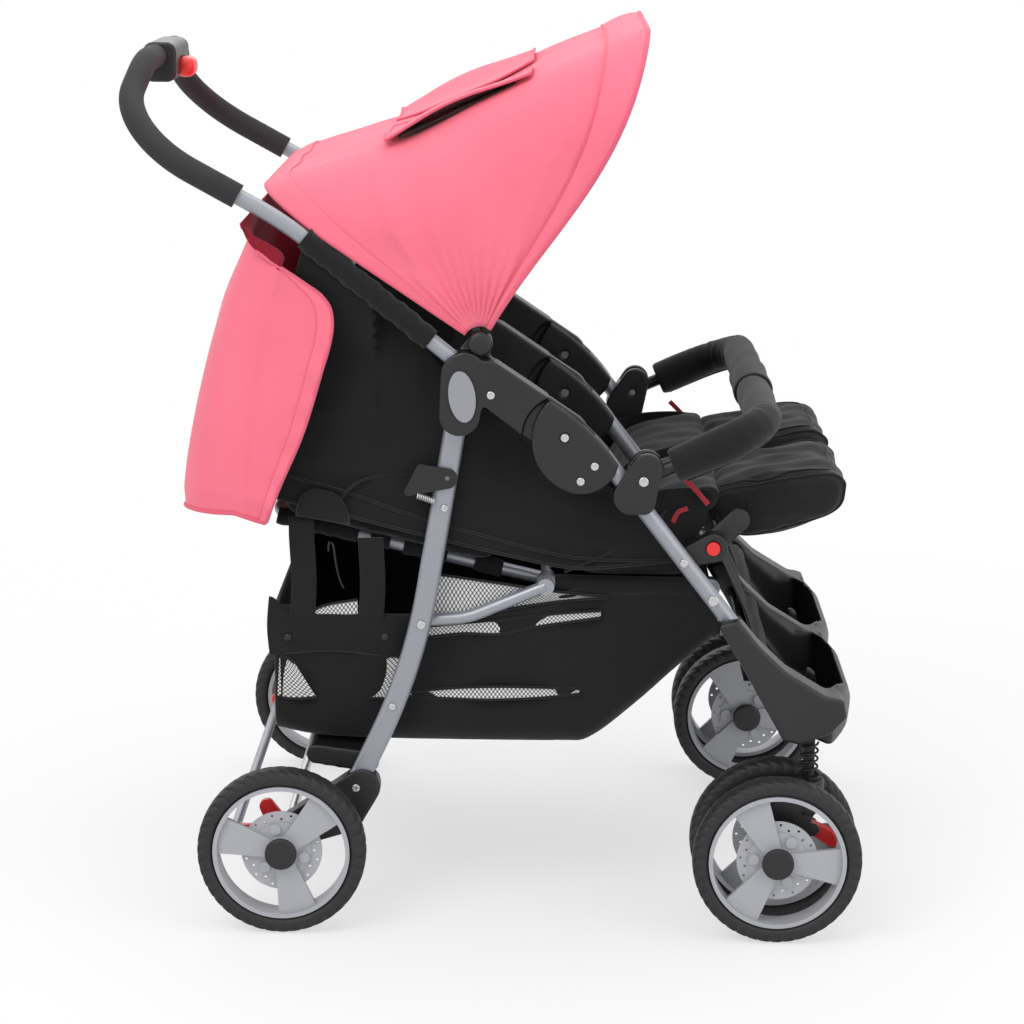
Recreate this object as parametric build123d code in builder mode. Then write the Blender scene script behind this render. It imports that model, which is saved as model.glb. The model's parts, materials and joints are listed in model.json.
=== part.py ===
from build123d import *
import math
import os

os.makedirs("parts", exist_ok=True)

# A side-by-side twin stroller. Side-view sizes are measured forward (x) and up (z) from the point
# on the floor under the rear axle. The finished part has its origin on the floor, in the middle.
# +X is forward, +Y is the stroller's left, +Z is up.

# ---------------------------------------------------------------- driving sizes
wheel_radius = 100.0
wheelbase = 585.0
handle_reach = 188.5            # rear-most face of the handle, behind the rear axle
axle_x = (handle_reach - wheelbase - wheel_radius) / 2

running = 0.1                   # radial clearance of a turning or sliding fit
seated = 0.05                   # radial clearance of a fixed fit
face_gap = 0.3                  # between flat faces that don't press together

# side view
fold_pivot = (328.0, 596.0)     # handle arm on front frame
rear_pivot = (209.0, 643.0)     # rear leg on handle arm
brace_low = (161.0, 361.0)      # brace on rear leg
brace_high = (308.0, 405.0)     # brace beside seat rail; backrest hinge
caster_trail = 37.0
caster_x = wheelbase + caster_trail
leg_top = (372.0, 573.0)
leg_foot = (caster_x - 50.0, 316.0)
bumper_pivot = (420.0, 546.0)
canopy_pivot = (229.0, 703.0)
latch_pivot = (191.0, 539.0)
brake_bar_at = (-62.0, 105.0)

# across
truss_y = 296.0
truss_width = 32.0
caster_y = 304.0
shroud_width = 44.0
rear_leg_y = 268.0
rear_leg_depth = 14.0
rail_radius = 9.0
brace_radius = 7.5
brace_y = rear_leg_y - rear_leg_depth / 2 - 1.0 - brace_radius
rail_y = brace_y - brace_radius - 1.0 - rail_radius
inner_rail_y = 30.0
seat_y = 135.0
cushion_overhang = 1.0
seat_half = rail_y + rail_radius + cushion_overhang - seat_y
truss_places = (-truss_y, 0.0, truss_y)
sides = (-1, 1)

# tubes
leg_radius = 10.0
tube_wall = 1.5
handle_radius = 9.5
foam_radius = 14.5

# wheels
tyre_width = 34.0
tyre_height = 19.0
rim_radius = wheel_radius - tyre_height
rim_wall = 5.0
front_axle_radius = 5.0
rear_axle_radius = 6.0
twin_spacing = 80.0             # between the two wheels of one caster
rear_wheel_y = 335.0
hub_radius = 18.0
cap_depth = 4.0


# ---------------------------------------------------------------- helpers
def at(x, z):
    """Side-view point in the part's own frame."""
    return (x + axle_x, z)


def at3(x, z, y):
    return (x + axle_x, y, z)


def side(y):
    """Plane at Y = y whose local x is forward and local y is up."""
    return Plane((0, y, 0), x_dir=(1, 0, 0), z_dir=(0, -1, 0))


def between(p, q, share):
    return (p[0] + (q[0] - p[0]) * share, p[1] + (q[1] - p[1]) * share)


def along(p, q, distance):
    """Point at a distance from p towards q."""
    return between(p, q, distance / math.dist(p, q))


def polar(centre, distance, angle):
    """Point at a distance and an angle in degrees from a centre."""
    turned = math.radians(angle)
    return (centre[0] + distance * math.cos(turned), centre[1] + distance * math.sin(turned))


def hull_face(y, *circles):
    """Convex outline around circles given as (x, z, radius)."""
    with BuildSketch(side(y)) as sketch:
        for x, z, radius in circles:
            with Locations(at(x, z)):
                Circle(radius)
        make_hull()
    return sketch.sketch


def shifted(x, z, *points):
    """Points, or circles, given from the point (x, z)."""
    return tuple((x + point[0], z + point[1], *point[2:]) for point in points)


def disc_face(y, centre, radius, bore=0.0):
    with BuildSketch(side(y)) as sketch:
        with Locations(at(*centre)):
            Circle(radius)
            if bore:
                Circle(bore, mode=Mode.SUBTRACT)
    return sketch.sketch


def outline_face(y, points, corner=0.0):
    with BuildSketch(side(y)) as sketch:
        with BuildLine():
            Polyline(*[at(*point) for point in points], close=True)
        make_face()
        if corner:
            fillet(sketch.vertices(), corner)
    return sketch.sketch


def route(points, radius):
    """Straight runs joined by tangent arcs."""
    with BuildLine() as line:
        if len(points) == 2:
            Line(*points)
        else:
            FilletPolyline(*points, radius=radius)
    return line.wire()


def ring_on(path, outer, inner=0.0):
    """Round section square to the start of a path."""
    with BuildSketch(Plane(origin=path @ 0, z_dir=path % 0)) as sketch:
        Circle(outer)
        if inner:
            Circle(inner, mode=Mode.SUBTRACT)
    return sketch.sketch


def save(builder, name):
    builder.part.label = name
    export_step(builder.part, f"parts/{name}.step")


# ---------------------------------------------------------------- front frame
cross_radius = 9.0
cross_at = between(leg_top, leg_foot, 0.955)
rail_front = between(leg_top, leg_foot, 0.662)      # seat rail pivot, on the leg's centre line
hub_root = between(leg_top, leg_foot, 0.486)
legrest_pivot = (hub_root[0] + 34.8, hub_root[1] + 12.902)
seat_pin_radius = 6.0
fold_pin_radius = 5.0


def leg_run(y, overrun=0.0):
    """Centre line of a front leg, carried on past its foot by the overrun."""
    return route([at3(*leg_top, y), at3(*along(leg_foot, leg_top, -overrun), y)], 0)


with BuildPart() as front_legs:
    for y in truss_places:
        leg = leg_run(y)
        sweep(ring_on(leg, leg_radius), path=leg)
    extrude(disc_face(0, cross_at, cross_radius), amount=truss_y, both=True)
    for y in truss_places:
        hollow = leg_run(y)
        sweep(ring_on(hollow, leg_radius - tube_wall), path=hollow, mode=Mode.SUBTRACT)
    extrude(disc_face(0, cross_at, cross_radius - tube_wall), amount=truss_y, both=True, mode=Mode.SUBTRACT)
    extrude(disc_face(0, rail_front, seat_pin_radius + seated), amount=truss_y + leg_radius, both=True,
            mode=Mode.SUBTRACT)
save(front_legs, "front_legs")

knuckle_top = (309.0, 639.0)
knuckle_left = (290.0, 584.0)
knuckle_bottom = (341.0, 529.0)
knuckle_end = ((366.0, 533.0), (387.0, 552.0), (391.0, 564.0))
knuckle_crest = (353.0, 607.0)
knuckle_corner = 3.0
knuckle_edge = 2.5
knuckle_screws = ((363.0, 563.0), (347.0, 545.0))
tongue_radius = 28.0
tongue_half = 7.5
slot_half = tongue_half + face_gap
fold_angle = 84.0
arm_knee = (300.0, 614.0)
arm_angle = math.degrees(math.atan2(arm_knee[1] - fold_pivot[1], arm_knee[0] - fold_pivot[0]))
slot_steps = 7
slot_margin = 2.5
slot_reach = 110.0


def tongue_slot(y):
    """Everything the handle arm's tongue sweeps over as the frame folds."""
    with BuildSketch(side(y)) as sketch:
        with Locations(at(*fold_pivot)):
            Circle(tongue_radius + slot_margin)
        for step in range(slot_steps):
            angle = arm_angle - fold_angle * step / (slot_steps - 1)
            middle = polar(fold_pivot, slot_reach / 2, angle)
            with Locations(at(*middle)):
                Rectangle(slot_reach, 2 * (tongue_radius + slot_margin), rotation=angle)
    return sketch.sketch


def knuckle_face(y):
    """Half-moon casing: round behind and below, nearly straight on top."""
    with BuildSketch(side(y)) as sketch:
        with BuildLine():
            ThreePointArc(at(*knuckle_top), at(*knuckle_left), at(*knuckle_bottom))
            ThreePointArc(at(*knuckle_bottom), at(*knuckle_end[0]), at(*knuckle_end[1]))
            Line(at(*knuckle_end[1]), at(*knuckle_end[2]))
            ThreePointArc(at(*knuckle_end[2]), at(*knuckle_crest), at(*knuckle_top))
        make_face()
        fillet(sketch.vertices(), knuckle_corner)
    return sketch.sketch


with BuildPart() as fold_knuckles:
    for y in truss_places:
        extrude(knuckle_face(y), amount=truss_width / 2, both=True)
    fillet(fold_knuckles.edges().filter_by(lambda edge: abs(edge.tangent_at(0.5).Y) < 0.01), knuckle_edge)
    for y in truss_places:
        extrude(tongue_slot(y), amount=slot_half, both=True, mode=Mode.SUBTRACT)
        bore = leg_run(y)
        sweep(ring_on(bore, leg_radius + seated), path=bore, mode=Mode.SUBTRACT)
        extrude(disc_face(y, fold_pivot, fold_pin_radius + seated), amount=truss_width, both=True,
                mode=Mode.SUBTRACT)
save(fold_knuckles, "fold_knuckles")

bumper_pin_radius = 4.0
bumper_eye_radius = 10.5
bumper_eye_half = 8.0
bracket_half = 18.0
bracket_lobes = ((406, 527, 21), (424, 560, 18), (420, 520, 14))
eye_clearance = 0.6
bar_sweep = (23, 51, 79, 110)   # directions that the bar passes through as it lifts
bar_room = 60.0
with BuildPart() as bumper_brackets:
    for y in (-truss_y, truss_y):
        extrude(hull_face(y, *bracket_lobes), amount=bracket_half, both=True)
        bore = leg_run(y)
        sweep(ring_on(bore, leg_radius + seated), path=bore, mode=Mode.SUBTRACT)
        with BuildSketch(side(y)) as eye_room:
            with Locations(at(*bumper_pivot)):
                Circle(bumper_eye_radius + eye_clearance)
            for angle in bar_sweep:
                with Locations(at(*polar(bumper_pivot, bar_room / 2, angle))):
                    Rectangle(bar_room, 2 * bumper_eye_radius, rotation=angle)
        extrude(eye_room.sketch, amount=bumper_eye_half + face_gap, both=True, mode=Mode.SUBTRACT)
        extrude(disc_face(y, bumper_pivot, bumper_pin_radius + seated), amount=bracket_half, both=True,
                mode=Mode.SUBTRACT)
save(bumper_brackets, "bumper_brackets")

# footrest: three shrouds around the leg feet and a scooped tray for each seat
shroud_outline = shifted(caster_x, 0, (-114, 378), (-88, 384), (-62, 352), (-30, 322), (18, 293),
                         (38, 290), (42, 268), (23, 248), (-11, 234), (-32, 238), (-62, 290), (-87, 335))
shroud_corner = 5.0
socket_floor = 0.5
socket_start = 200.0
socket_bottom = 234.0
socket_top = 288.0
stem_radius = 7.0
tray_outline = shifted(caster_x, 0, (-84, 345), (-47, 282), (-10, 236), (28, 221), (52, 229), (60, 254),
                       (51, 282), (33, 294), (2, 290), (-30, 316), (-62, 352))
tray_hollow = shifted(caster_x, 0, (-73, 349), (-42, 288), (-7, 242), (28, 227), (46, 233), (54, 254),
                      (44, 280), (42, 400), (-73, 400))
tray_wall = 5.0
tray_corner = 6.0
well_corner = 4.0
tray_inner_edge = truss_width / 2 - 1
tray_outer_edge = caster_y - shroud_width / 2 + 1
tray_shoulder = caster_x + 28.0
tray_nose = caster_x + 61.0
tray_back = caster_x - 122.0
lobe_base = 150.0
lobe_rise = 300.0
toe_rib = shifted(caster_x, 0, (-10, 244), (30, 230), (18, 276), (8, 284))
toe_rib_half = 5.0


def lobe_face(hand, inset):
    """Plan of one foot well: square sides and a rounded nose."""
    low = tray_inner_edge + inset
    high = tray_outer_edge - inset
    back = tray_back + axle_x
    shoulder = tray_shoulder - inset + axle_x
    nose = (tray_nose - inset + axle_x, hand * (low + high) / 2)
    with BuildSketch(Plane.XY.offset(lobe_base)) as sketch:
        with BuildLine():
            Polyline((shoulder, hand * low), (back, hand * low), (back, hand * high), (shoulder, hand * high))
            ThreePointArc((shoulder, hand * high), nose, (shoulder, hand * low))
        make_face()
    return sketch.sketch


with BuildPart() as foot_wells:
    extrude(outline_face(0, tray_hollow, well_corner), amount=tray_outer_edge, both=True)
    extrude(lobe_face(1, tray_wall) + lobe_face(-1, tray_wall), amount=lobe_rise, mode=Mode.INTERSECT)

with BuildPart() as footrest:
    extrude(outline_face(0, tray_outline, tray_corner), amount=tray_outer_edge, both=True)
    extrude(lobe_face(1, 0) + lobe_face(-1, 0), amount=lobe_rise, mode=Mode.INTERSECT)
    add(foot_wells.part, mode=Mode.SUBTRACT)
    for hand in sides:
        rib_y = hand * (tray_inner_edge + tray_outer_edge) / 2
        extrude(outline_face(rib_y, toe_rib), amount=toe_rib_half, both=True)
    for y in (-caster_y, 0, caster_y):
        half = shroud_width / 2 if y else truss_width / 2
        extrude(outline_face(y, shroud_outline, shroud_corner), amount=half, both=True)
    for y in truss_places:
        bore = leg_run(y, socket_floor)
        sweep(ring_on(bore, leg_radius + seated), path=bore, mode=Mode.SUBTRACT)
    extrude(disc_face(0, cross_at, cross_radius + seated), amount=truss_y, both=True, mode=Mode.SUBTRACT)
    for y in (-caster_y, caster_y):
        with BuildSketch(Plane.XY.offset(socket_start)) as socket:
            with Locations((caster_x + axle_x, y)):
                Circle(stem_radius + running)
        extrude(socket.sketch, amount=socket_top - socket_start, mode=Mode.SUBTRACT)
save(footrest, "footrest")

# leg rest hubs: a plate off each leg, with a bored boss for the leg rest's stub and its button
hub_in = 262.0
hub_out = truss_y - leg_radius - face_gap
stub_radius = 10.0
button_radius = 8.0
button_seat = 274.0
button_push = 3.0
button_proud = 2.5
inner_stub_radius = 8.0
hub_root_radius = 11.0
hub_end_radius = 17.0
middle_hub_half = 12.0
with BuildPart() as leg_rest_hubs:
    for hand in sides:
        middle = hand * (hub_in + hub_out) / 2
        extrude(hull_face(middle, (*hub_root, hub_root_radius), (*legrest_pivot, hub_end_radius)),
                amount=(hub_out - hub_in) / 2, both=True)
        step = button_seat - button_push
        extrude(disc_face(hand * (hub_in + step) / 2, legrest_pivot, stub_radius + running),
                amount=(step - hub_in) / 2, both=True, mode=Mode.SUBTRACT)
        extrude(disc_face(middle, legrest_pivot, button_radius + running), amount=hub_out - hub_in, both=True,
                mode=Mode.SUBTRACT)
    extrude(hull_face(0, (*hub_root, hub_root_radius + 1), (*legrest_pivot, hub_end_radius)),
            amount=middle_hub_half, both=True)
    bore = leg_run(0)
    sweep(ring_on(bore, leg_radius + seated), path=bore, mode=Mode.SUBTRACT)
    extrude(disc_face(0, legrest_pivot, inner_stub_radius + running), amount=middle_hub_half, both=True,
            mode=Mode.SUBTRACT)
save(leg_rest_hubs, "leg_rest_hubs")

for name, hand in (("left", 1), ("right", -1)):
    with BuildPart() as legrest_button:
        middle = hand * (button_seat + hub_out + button_proud) / 2
        half = (hub_out + button_proud - button_seat) / 2
        extrude(disc_face(middle, legrest_pivot, button_radius), amount=half, both=True)
    save(legrest_button, f"leg_rest_button_{name}")

screw_head = 4.5
head_depth = 2.6
with BuildPart() as front_fasteners:
    for y in truss_places:
        extrude(disc_face(y, fold_pivot, fold_pin_radius), amount=truss_width / 2, both=True)
    for hand in sides:
        outer_face = hand * (truss_y + truss_width / 2 + head_depth / 2)
        for place in (fold_pivot, *knuckle_screws):
            extrude(disc_face(outer_face, place, screw_head), amount=head_depth / 2, both=True)
        extrude(disc_face(hand * truss_y, bumper_pivot, bumper_pin_radius), amount=bracket_half, both=True)
        extrude(disc_face(hand * (truss_y + bracket_half + head_depth / 2), bumper_pivot, screw_head + 1),
                amount=head_depth / 2, both=True)
        pin_out = truss_y + leg_radius + head_depth
        pin_in = rail_y - rail_radius
        extrude(disc_face(hand * (pin_out + pin_in) / 2, rail_front, seat_pin_radius),
                amount=(pin_out - pin_in) / 2, both=True)
        extrude(disc_face(hand * (truss_y + leg_radius + head_depth / 2), hub_root, screw_head),
                amount=head_depth / 2, both=True)
    extrude(disc_face(0, rail_front, seat_pin_radius), amount=inner_rail_y + rail_radius, both=True)
save(front_fasteners, "front_fasteners")

# ---------------------------------------------------------------- bumper bar
bumper_corner = (561.0, 608.5)
bumper_tube_radius = 8.0
pad_radius = 17.0
bumper_bend = 60.0
pad_gap = 6.0
pad_setback = 44.0
bar_start = along(bumper_pivot, bumper_corner, bumper_eye_radius - 2)
with BuildPart() as bumper_bar:
    bar = route([at3(*bar_start, -truss_y), at3(*bumper_corner, -truss_y),
                 at3(*bumper_corner, truss_y), at3(*bar_start, truss_y)], bumper_bend)
    sweep(ring_on(bar, bumper_tube_radius), path=bar)
    for y in (-truss_y, truss_y):
        extrude(disc_face(y, bumper_pivot, bumper_eye_radius), amount=bumper_eye_half, both=True)
        extrude(disc_face(y, bumper_pivot, bumper_pin_radius + running), amount=bracket_half, both=True,
                mode=Mode.SUBTRACT)
save(bumper_bar, "bumper_bar")

pad_start = along(bumper_pivot, bumper_corner, pad_setback)
middle_pad_half = 60.0
with BuildPart() as bumper_pads:
    for hand in sides:
        pad = route([at3(*pad_start, hand * truss_y), at3(*bumper_corner, hand * truss_y),
                     at3(*bumper_corner, hand * (middle_pad_half + pad_gap))], bumper_bend)
        sweep(ring_on(pad, pad_radius, bumper_tube_radius + seated), path=pad)
    middle_pad = route([at3(*bumper_corner, -middle_pad_half), at3(*bumper_corner, middle_pad_half)], 0)
    sweep(ring_on(middle_pad, pad_radius + 1, bumper_tube_radius + seated), path=middle_pad)
save(bumper_pads, "bumper_pads")

# ---------------------------------------------------------------- casters
stem_bottom = 160.0
fork_top = 188.0
flange_depth = 3.5
spring_wire = 1.3
spring_radius = 10.5
spring_turns = 4
suspension_travel = 12.0
fork_half = 17.0
lock_pivot = (caster_x + 6, 128.0)
collar_wall = 2.0
collar_bottom = 150.0
collar_bore = 60.0
fork_lobes = ((wheelbase, wheel_radius, 17), (caster_x - 4, 168, 20), (caster_x - 26, 150, 22))
spring_inset = 0.2
stem_headroom = 6.0
lock_half = 9.0
lock_cheek = 5.0
lock_pin_radius = 3.0
lock_room = 14.0
lock_lobes = ((caster_x + 24, 118, 8), (caster_x + 30, 112, 6))
lock_ear = (caster_x - 22, 124, 12)
rim_inset = 2.0                 # rim's edge inside the tyre's face
web_offset = 7.0
web_half = 3.0
spoke_root_half = 8.0           # half width the spoke's edges would have at the axle
spoke_rim_half = 25.0
ring_outer = 48.0
ring_half = 1.0
ring_holes = 12
ring_hole_radius = 1.6
ring_hole_rows = ((43.5, 0.0), (38.5, 15.0))
plate_radius = 35.0
plate_rise = 1.5
lug_circle = 28.0
lug_radius = 6.5
lug_rise = 3.5
front_spoke_turn = 116.0
rear_spoke_turn = 45.0
shoulder_radius = 9.0


def build_stem(hand):
    with BuildPart() as stem:
        with BuildSketch(Plane.XY.offset(stem_bottom)) as rod:
            with Locations((caster_x + axle_x, hand * caster_y)):
                Circle(stem_radius)
        extrude(rod.sketch, amount=socket_top - suspension_travel - stem_headroom - stem_bottom)
        with BuildSketch(Plane.XY.offset(fork_top + face_gap)) as seat:
            with Locations((caster_x + axle_x, hand * caster_y)):
                Circle(spring_radius + spring_wire + 1)
        extrude(seat.sketch, amount=flange_depth)
    return stem


def build_spring(hand):
    low = fork_top + face_gap + flange_depth + spring_wire + spring_inset
    high = socket_bottom - spring_wire - spring_inset
    with BuildPart() as spring:
        with BuildLine(Plane((caster_x + axle_x, hand * caster_y, low))) as coil:
            Helix(pitch=(high - low) / spring_turns, height=high - low, radius=spring_radius)
        with BuildSketch(Plane(origin=coil.line @ 0, z_dir=coil.line % 0)) as wire:
            Circle(spring_wire)
        sweep(wire.sketch, path=coil.line)
    return spring


def build_fork(hand):
    y = hand * caster_y
    with BuildPart() as fork:
        extrude(hull_face(y, *fork_lobes), amount=fork_half, both=True)
        with BuildSketch(Plane.XY.offset(collar_bottom)) as collar:
            with Locations((caster_x + axle_x, y)):
                Circle(fork_half + collar_wall)
        extrude(collar.sketch, amount=fork_top - collar_bottom)
        extrude(hull_face(y, lock_ear, (*lock_pivot, lock_pin_radius + 5)), amount=lock_half + lock_cheek,
                both=True)
        extrude(disc_face(y, lock_pivot, lock_room), amount=lock_half + face_gap, both=True,
                mode=Mode.SUBTRACT)
        with BuildSketch(Plane.XY.offset(stem_bottom - 1)) as stem_hole:
            with Locations((caster_x + axle_x, y)):
                Circle(stem_radius + running)
        extrude(stem_hole.sketch, amount=collar_bore, mode=Mode.SUBTRACT)
        axle = (wheelbase, wheel_radius)
        extrude(disc_face(y, axle, front_axle_radius + seated), amount=fork_half, both=True,
                mode=Mode.SUBTRACT)
        extrude(disc_face(y, lock_pivot, lock_pin_radius), amount=lock_half + lock_cheek, both=True)
        extrude(disc_face(y, axle, front_axle_radius), amount=(twin_spacing + tyre_width) / 2, both=True)
    return fork


def build_lock(hand):
    y = hand * caster_y
    with BuildPart() as lock:
        extrude(hull_face(y, (*lock_pivot, lock_pin_radius + 3.5), *lock_lobes), amount=lock_half, both=True)
        extrude(disc_face(y, lock_pivot, lock_pin_radius + running), amount=lock_half, both=True,
                mode=Mode.SUBTRACT)
    return lock


def build_rim(x, y, outward, bore, turn):
    """Rim with three wide spokes over a drilled ring and a bolted plate, and a separate round hub cap."""
    centre = (x, wheel_radius)
    web = y + outward * web_offset
    reach = rim_radius - rim_wall + 1
    ring = web - outward * (web_half + ring_half)
    plate = web - outward * (web_half - plate_rise / 2)
    lug = web - outward * (web_half - plate_rise - lug_rise / 2)
    with BuildPart() as rim:
        extrude(disc_face(y, centre, rim_radius, rim_radius - rim_wall),
                amount=tyre_width / 2 - rim_inset, both=True)
        with BuildSketch(side(web)) as spokes:
            with Locations(at(*centre)):
                with PolarLocations(0, 3, start_angle=turn):
                    Polygon((0, -spoke_root_half), (reach + 8, -spoke_rim_half), (reach + 8, spoke_rim_half),
                            (0, spoke_root_half), align=None)
                Circle(reach, mode=Mode.INTERSECT)
        extrude(spokes.sketch, amount=web_half, both=True)
        with BuildSketch(side(ring)) as brake_ring:
            with Locations(at(*centre)):
                Circle(ring_outer)
                for circle, step in ring_hole_rows:
                    with PolarLocations(circle, ring_holes, start_angle=turn + step):
                        Circle(ring_hole_radius, mode=Mode.SUBTRACT)
        extrude(brake_ring.sketch, amount=ring_half, both=True)
        extrude(disc_face(plate, centre, plate_radius), amount=plate_rise / 2, both=True)
        with BuildSketch(side(lug)) as lugs:
            with Locations(at(*centre)):
                with PolarLocations(lug_circle, 3, start_angle=turn + 60):
                    Circle(lug_radius)
        extrude(lugs.sketch, amount=lug_rise / 2, both=True)
        extrude(disc_face(y, centre, hub_radius), amount=tyre_width / 2, both=True)
        extrude(disc_face(y, centre, bore + running), amount=tyre_width, both=True, mode=Mode.SUBTRACT)
        cap = y + outward * (tyre_width / 2 + cap_depth / 2 + seated)
        extrude(disc_face(cap, centre, hub_radius), amount=cap_depth / 2, both=True)
    return rim


def build_tyre(x, y):
    with BuildPart() as tyre:
        extrude(disc_face(y, (x, wheel_radius), wheel_radius, rim_radius + seated), amount=tyre_width / 2,
                both=True)
        fillet(tyre.edges().filter_by(GeomType.CIRCLE).sort_by(lambda edge: edge.radius)[-2:], shoulder_radius)
    return tyre


for name, hand in (("left", 1), ("right", -1)):
    save(build_stem(hand), f"caster_stem_{name}")
    save(build_spring(hand), f"suspension_spring_{name}")
    save(build_fork(hand), f"caster_fork_{name}")
    save(build_lock(hand), f"swivel_lock_{name}")
    for place, outward in (("outer", hand), ("inner", -hand)):
        wheel_y = hand * caster_y + outward * twin_spacing / 2
        save(build_rim(wheelbase, wheel_y, outward, front_axle_radius, front_spoke_turn),
             f"front_rim_{name}_{place}")
        save(build_tyre(wheelbase, wheel_y), f"front_tyre_{name}_{place}")
    save(build_rim(0, hand * rear_wheel_y, hand, rear_axle_radius, rear_spoke_turn), f"rear_rim_{name}")
    save(build_tyre(0, hand * rear_wheel_y), f"rear_tyre_{name}")

# ---------------------------------------------------------------- handle frame
arm_pin_radius = 5.0
canopy_pin_radius = 4.0
lug_half = 5.5
tube_end = (213.0, 672.0)
tube_bend = (4.4, 839.5)
cheek_radius = 50.0
cheek_depth = 20.0
arm_rear_lobes = ((211, 667, 27), (206, 620, 24))
arm_neck_lobes = ((237, 660, 25), (*arm_knee, 25), (*fold_pivot, tongue_radius))
canopy_lug_lobes = ((*canopy_pivot, 14), (213, 668, 24))
arm_screw = (242.0, 645.0)
with BuildPart() as fold_arms:
    for y in truss_places:
        extrude(hull_face(y, *arm_rear_lobes), amount=truss_width / 2, both=True)
        extrude(hull_face(y, *arm_neck_lobes), amount=truss_width / 2, both=True)
        for hand in sides:
            cheek = y + hand * (tongue_half + cheek_depth / 2)
            extrude(disc_face(cheek, fold_pivot, cheek_radius), amount=cheek_depth / 2, both=True,
                    mode=Mode.SUBTRACT)
        extrude(disc_face(y, fold_pivot, fold_pin_radius + running), amount=truss_width, both=True,
                mode=Mode.SUBTRACT)
    for hand in sides:
        lug = hand * (truss_y - truss_width / 2 + lug_half)
        extrude(hull_face(lug, *canopy_lug_lobes), amount=lug_half, both=True)
        extrude(disc_face(lug, canopy_pivot, canopy_pin_radius + seated), amount=lug_half, both=True,
                mode=Mode.SUBTRACT)
        extrude(disc_face(hand * truss_y, rear_pivot, arm_pin_radius + seated), amount=truss_width / 2,
                both=True, mode=Mode.SUBTRACT)
    for y in truss_places:
        socket = route([at3(*tube_end, y), at3(*tube_bend, y)], 0)
        sweep(ring_on(socket, handle_radius + seated), path=socket, mode=Mode.SUBTRACT)
save(fold_arms, "fold_arms")

cover_half_width = 15.5
cover_half_height = 30.0
cover_tilt = 8.0
cover_depth = 4.0
with BuildPart() as hub_covers:
    for hand in sides:
        with BuildSketch(side(hand * (truss_y + truss_width / 2 + cover_depth / 2))) as oval:
            with Locations(Location(at(*rear_pivot), cover_tilt)):
                Ellipse(cover_half_width, cover_half_height)
        extrude(oval.sketch, amount=cover_depth / 2, both=True)
save(hub_covers, "hub_covers")

handle_corner = (-187.0, 943.0)
handle_crown = (-(handle_reach - foam_radius), 1011.0)
crown_half = 150.0
handle_bends = [400.0, 110.0, 150.0]
middle_tube_rise = 182.0
cross_tube_at = along(tube_end, tube_bend, middle_tube_rise)
cross_tube_radius = 9.0


def handle_route(start, hand, end_y):
    """One side of the handle, from a point on its side tube to a place on the crossbar."""
    points = [at3(*start, hand * truss_y)]
    bends = []
    if start == tube_end:
        points.append(at3(*tube_bend, hand * truss_y))
        bends.append(handle_bends[0])
    points.append(at3(*handle_corner, hand * truss_y))
    points.append(at3(*handle_crown, hand * crown_half))
    points.append(at3(*handle_crown, hand * end_y))
    return route(points, bends + handle_bends[1:])


with BuildPart() as handle_tube:
    for hand in sides:
        half_handle = handle_route(tube_end, hand, 0)
        sweep(ring_on(half_handle, handle_radius), path=half_handle)
    extrude(disc_face(0, cross_tube_at, cross_tube_radius), amount=truss_y, both=True)
    spine = route([at3(*tube_end, 0), at3(*cross_tube_at, 0)], 0)
    sweep(ring_on(spine, handle_radius), path=spine)
    for hand in sides:
        hollow = handle_route(tube_end, hand, 0)
        sweep(ring_on(hollow, handle_radius - tube_wall), path=hollow, mode=Mode.SUBTRACT)
    extrude(disc_face(0, cross_tube_at, cross_tube_radius - tube_wall), amount=truss_y, both=True,
            mode=Mode.SUBTRACT)
    sweep(ring_on(spine, handle_radius - tube_wall), path=spine, mode=Mode.SUBTRACT)
save(handle_tube, "handle_tube")

grip_start = between(tube_bend, handle_corner, 0.282)
housing_half = 62.0
with BuildPart() as foam_grips:
    for hand in sides:
        grip = handle_route(grip_start, hand, housing_half + face_gap)
        sweep(ring_on(grip, foam_radius, handle_radius + seated), path=grip)
save(foam_grips, "foam_grips")

housing_back = -handle_reach
housing_front = handle_crown[0] + 26.0
housing_low = handle_crown[1] - 31.0
housing_high = handle_crown[1] + 17.0
housing_corner = 12.0
button_corner = 3.0
button_low = handle_crown[1] - 27.0
button_high = handle_crown[1] - 4.0
button_half = 22.0
button_travel = 4.0
button_back = handle_crown[0] + 20.0
button_front = handle_crown[0] + 42.0
with BuildPart() as handle_housing:
    extrude(outline_face(0, ((housing_back, housing_low), (housing_front, housing_low),
                             (housing_front, housing_high), (housing_back, housing_high)), housing_corner),
            amount=housing_half, both=True)
    extrude(disc_face(0, handle_crown, handle_radius + seated), amount=housing_half, both=True,
            mode=Mode.SUBTRACT)
    slot_back = button_back - button_travel - 0.5
    slot_front = housing_front + 5.0
    extrude(outline_face(0, ((slot_back, button_low - face_gap), (slot_front, button_low - face_gap),
                             (slot_front, button_high + face_gap), (slot_back, button_high + face_gap))),
            amount=button_half + face_gap, both=True, mode=Mode.SUBTRACT)
save(handle_housing, "handle_housing")

with BuildPart() as release_button:
    extrude(outline_face(0, ((button_back, button_low), (button_front, button_low),
                             (button_front, button_high), (button_back, button_high)), button_corner),
            amount=button_half, both=True)
save(release_button, "release_button")

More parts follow.
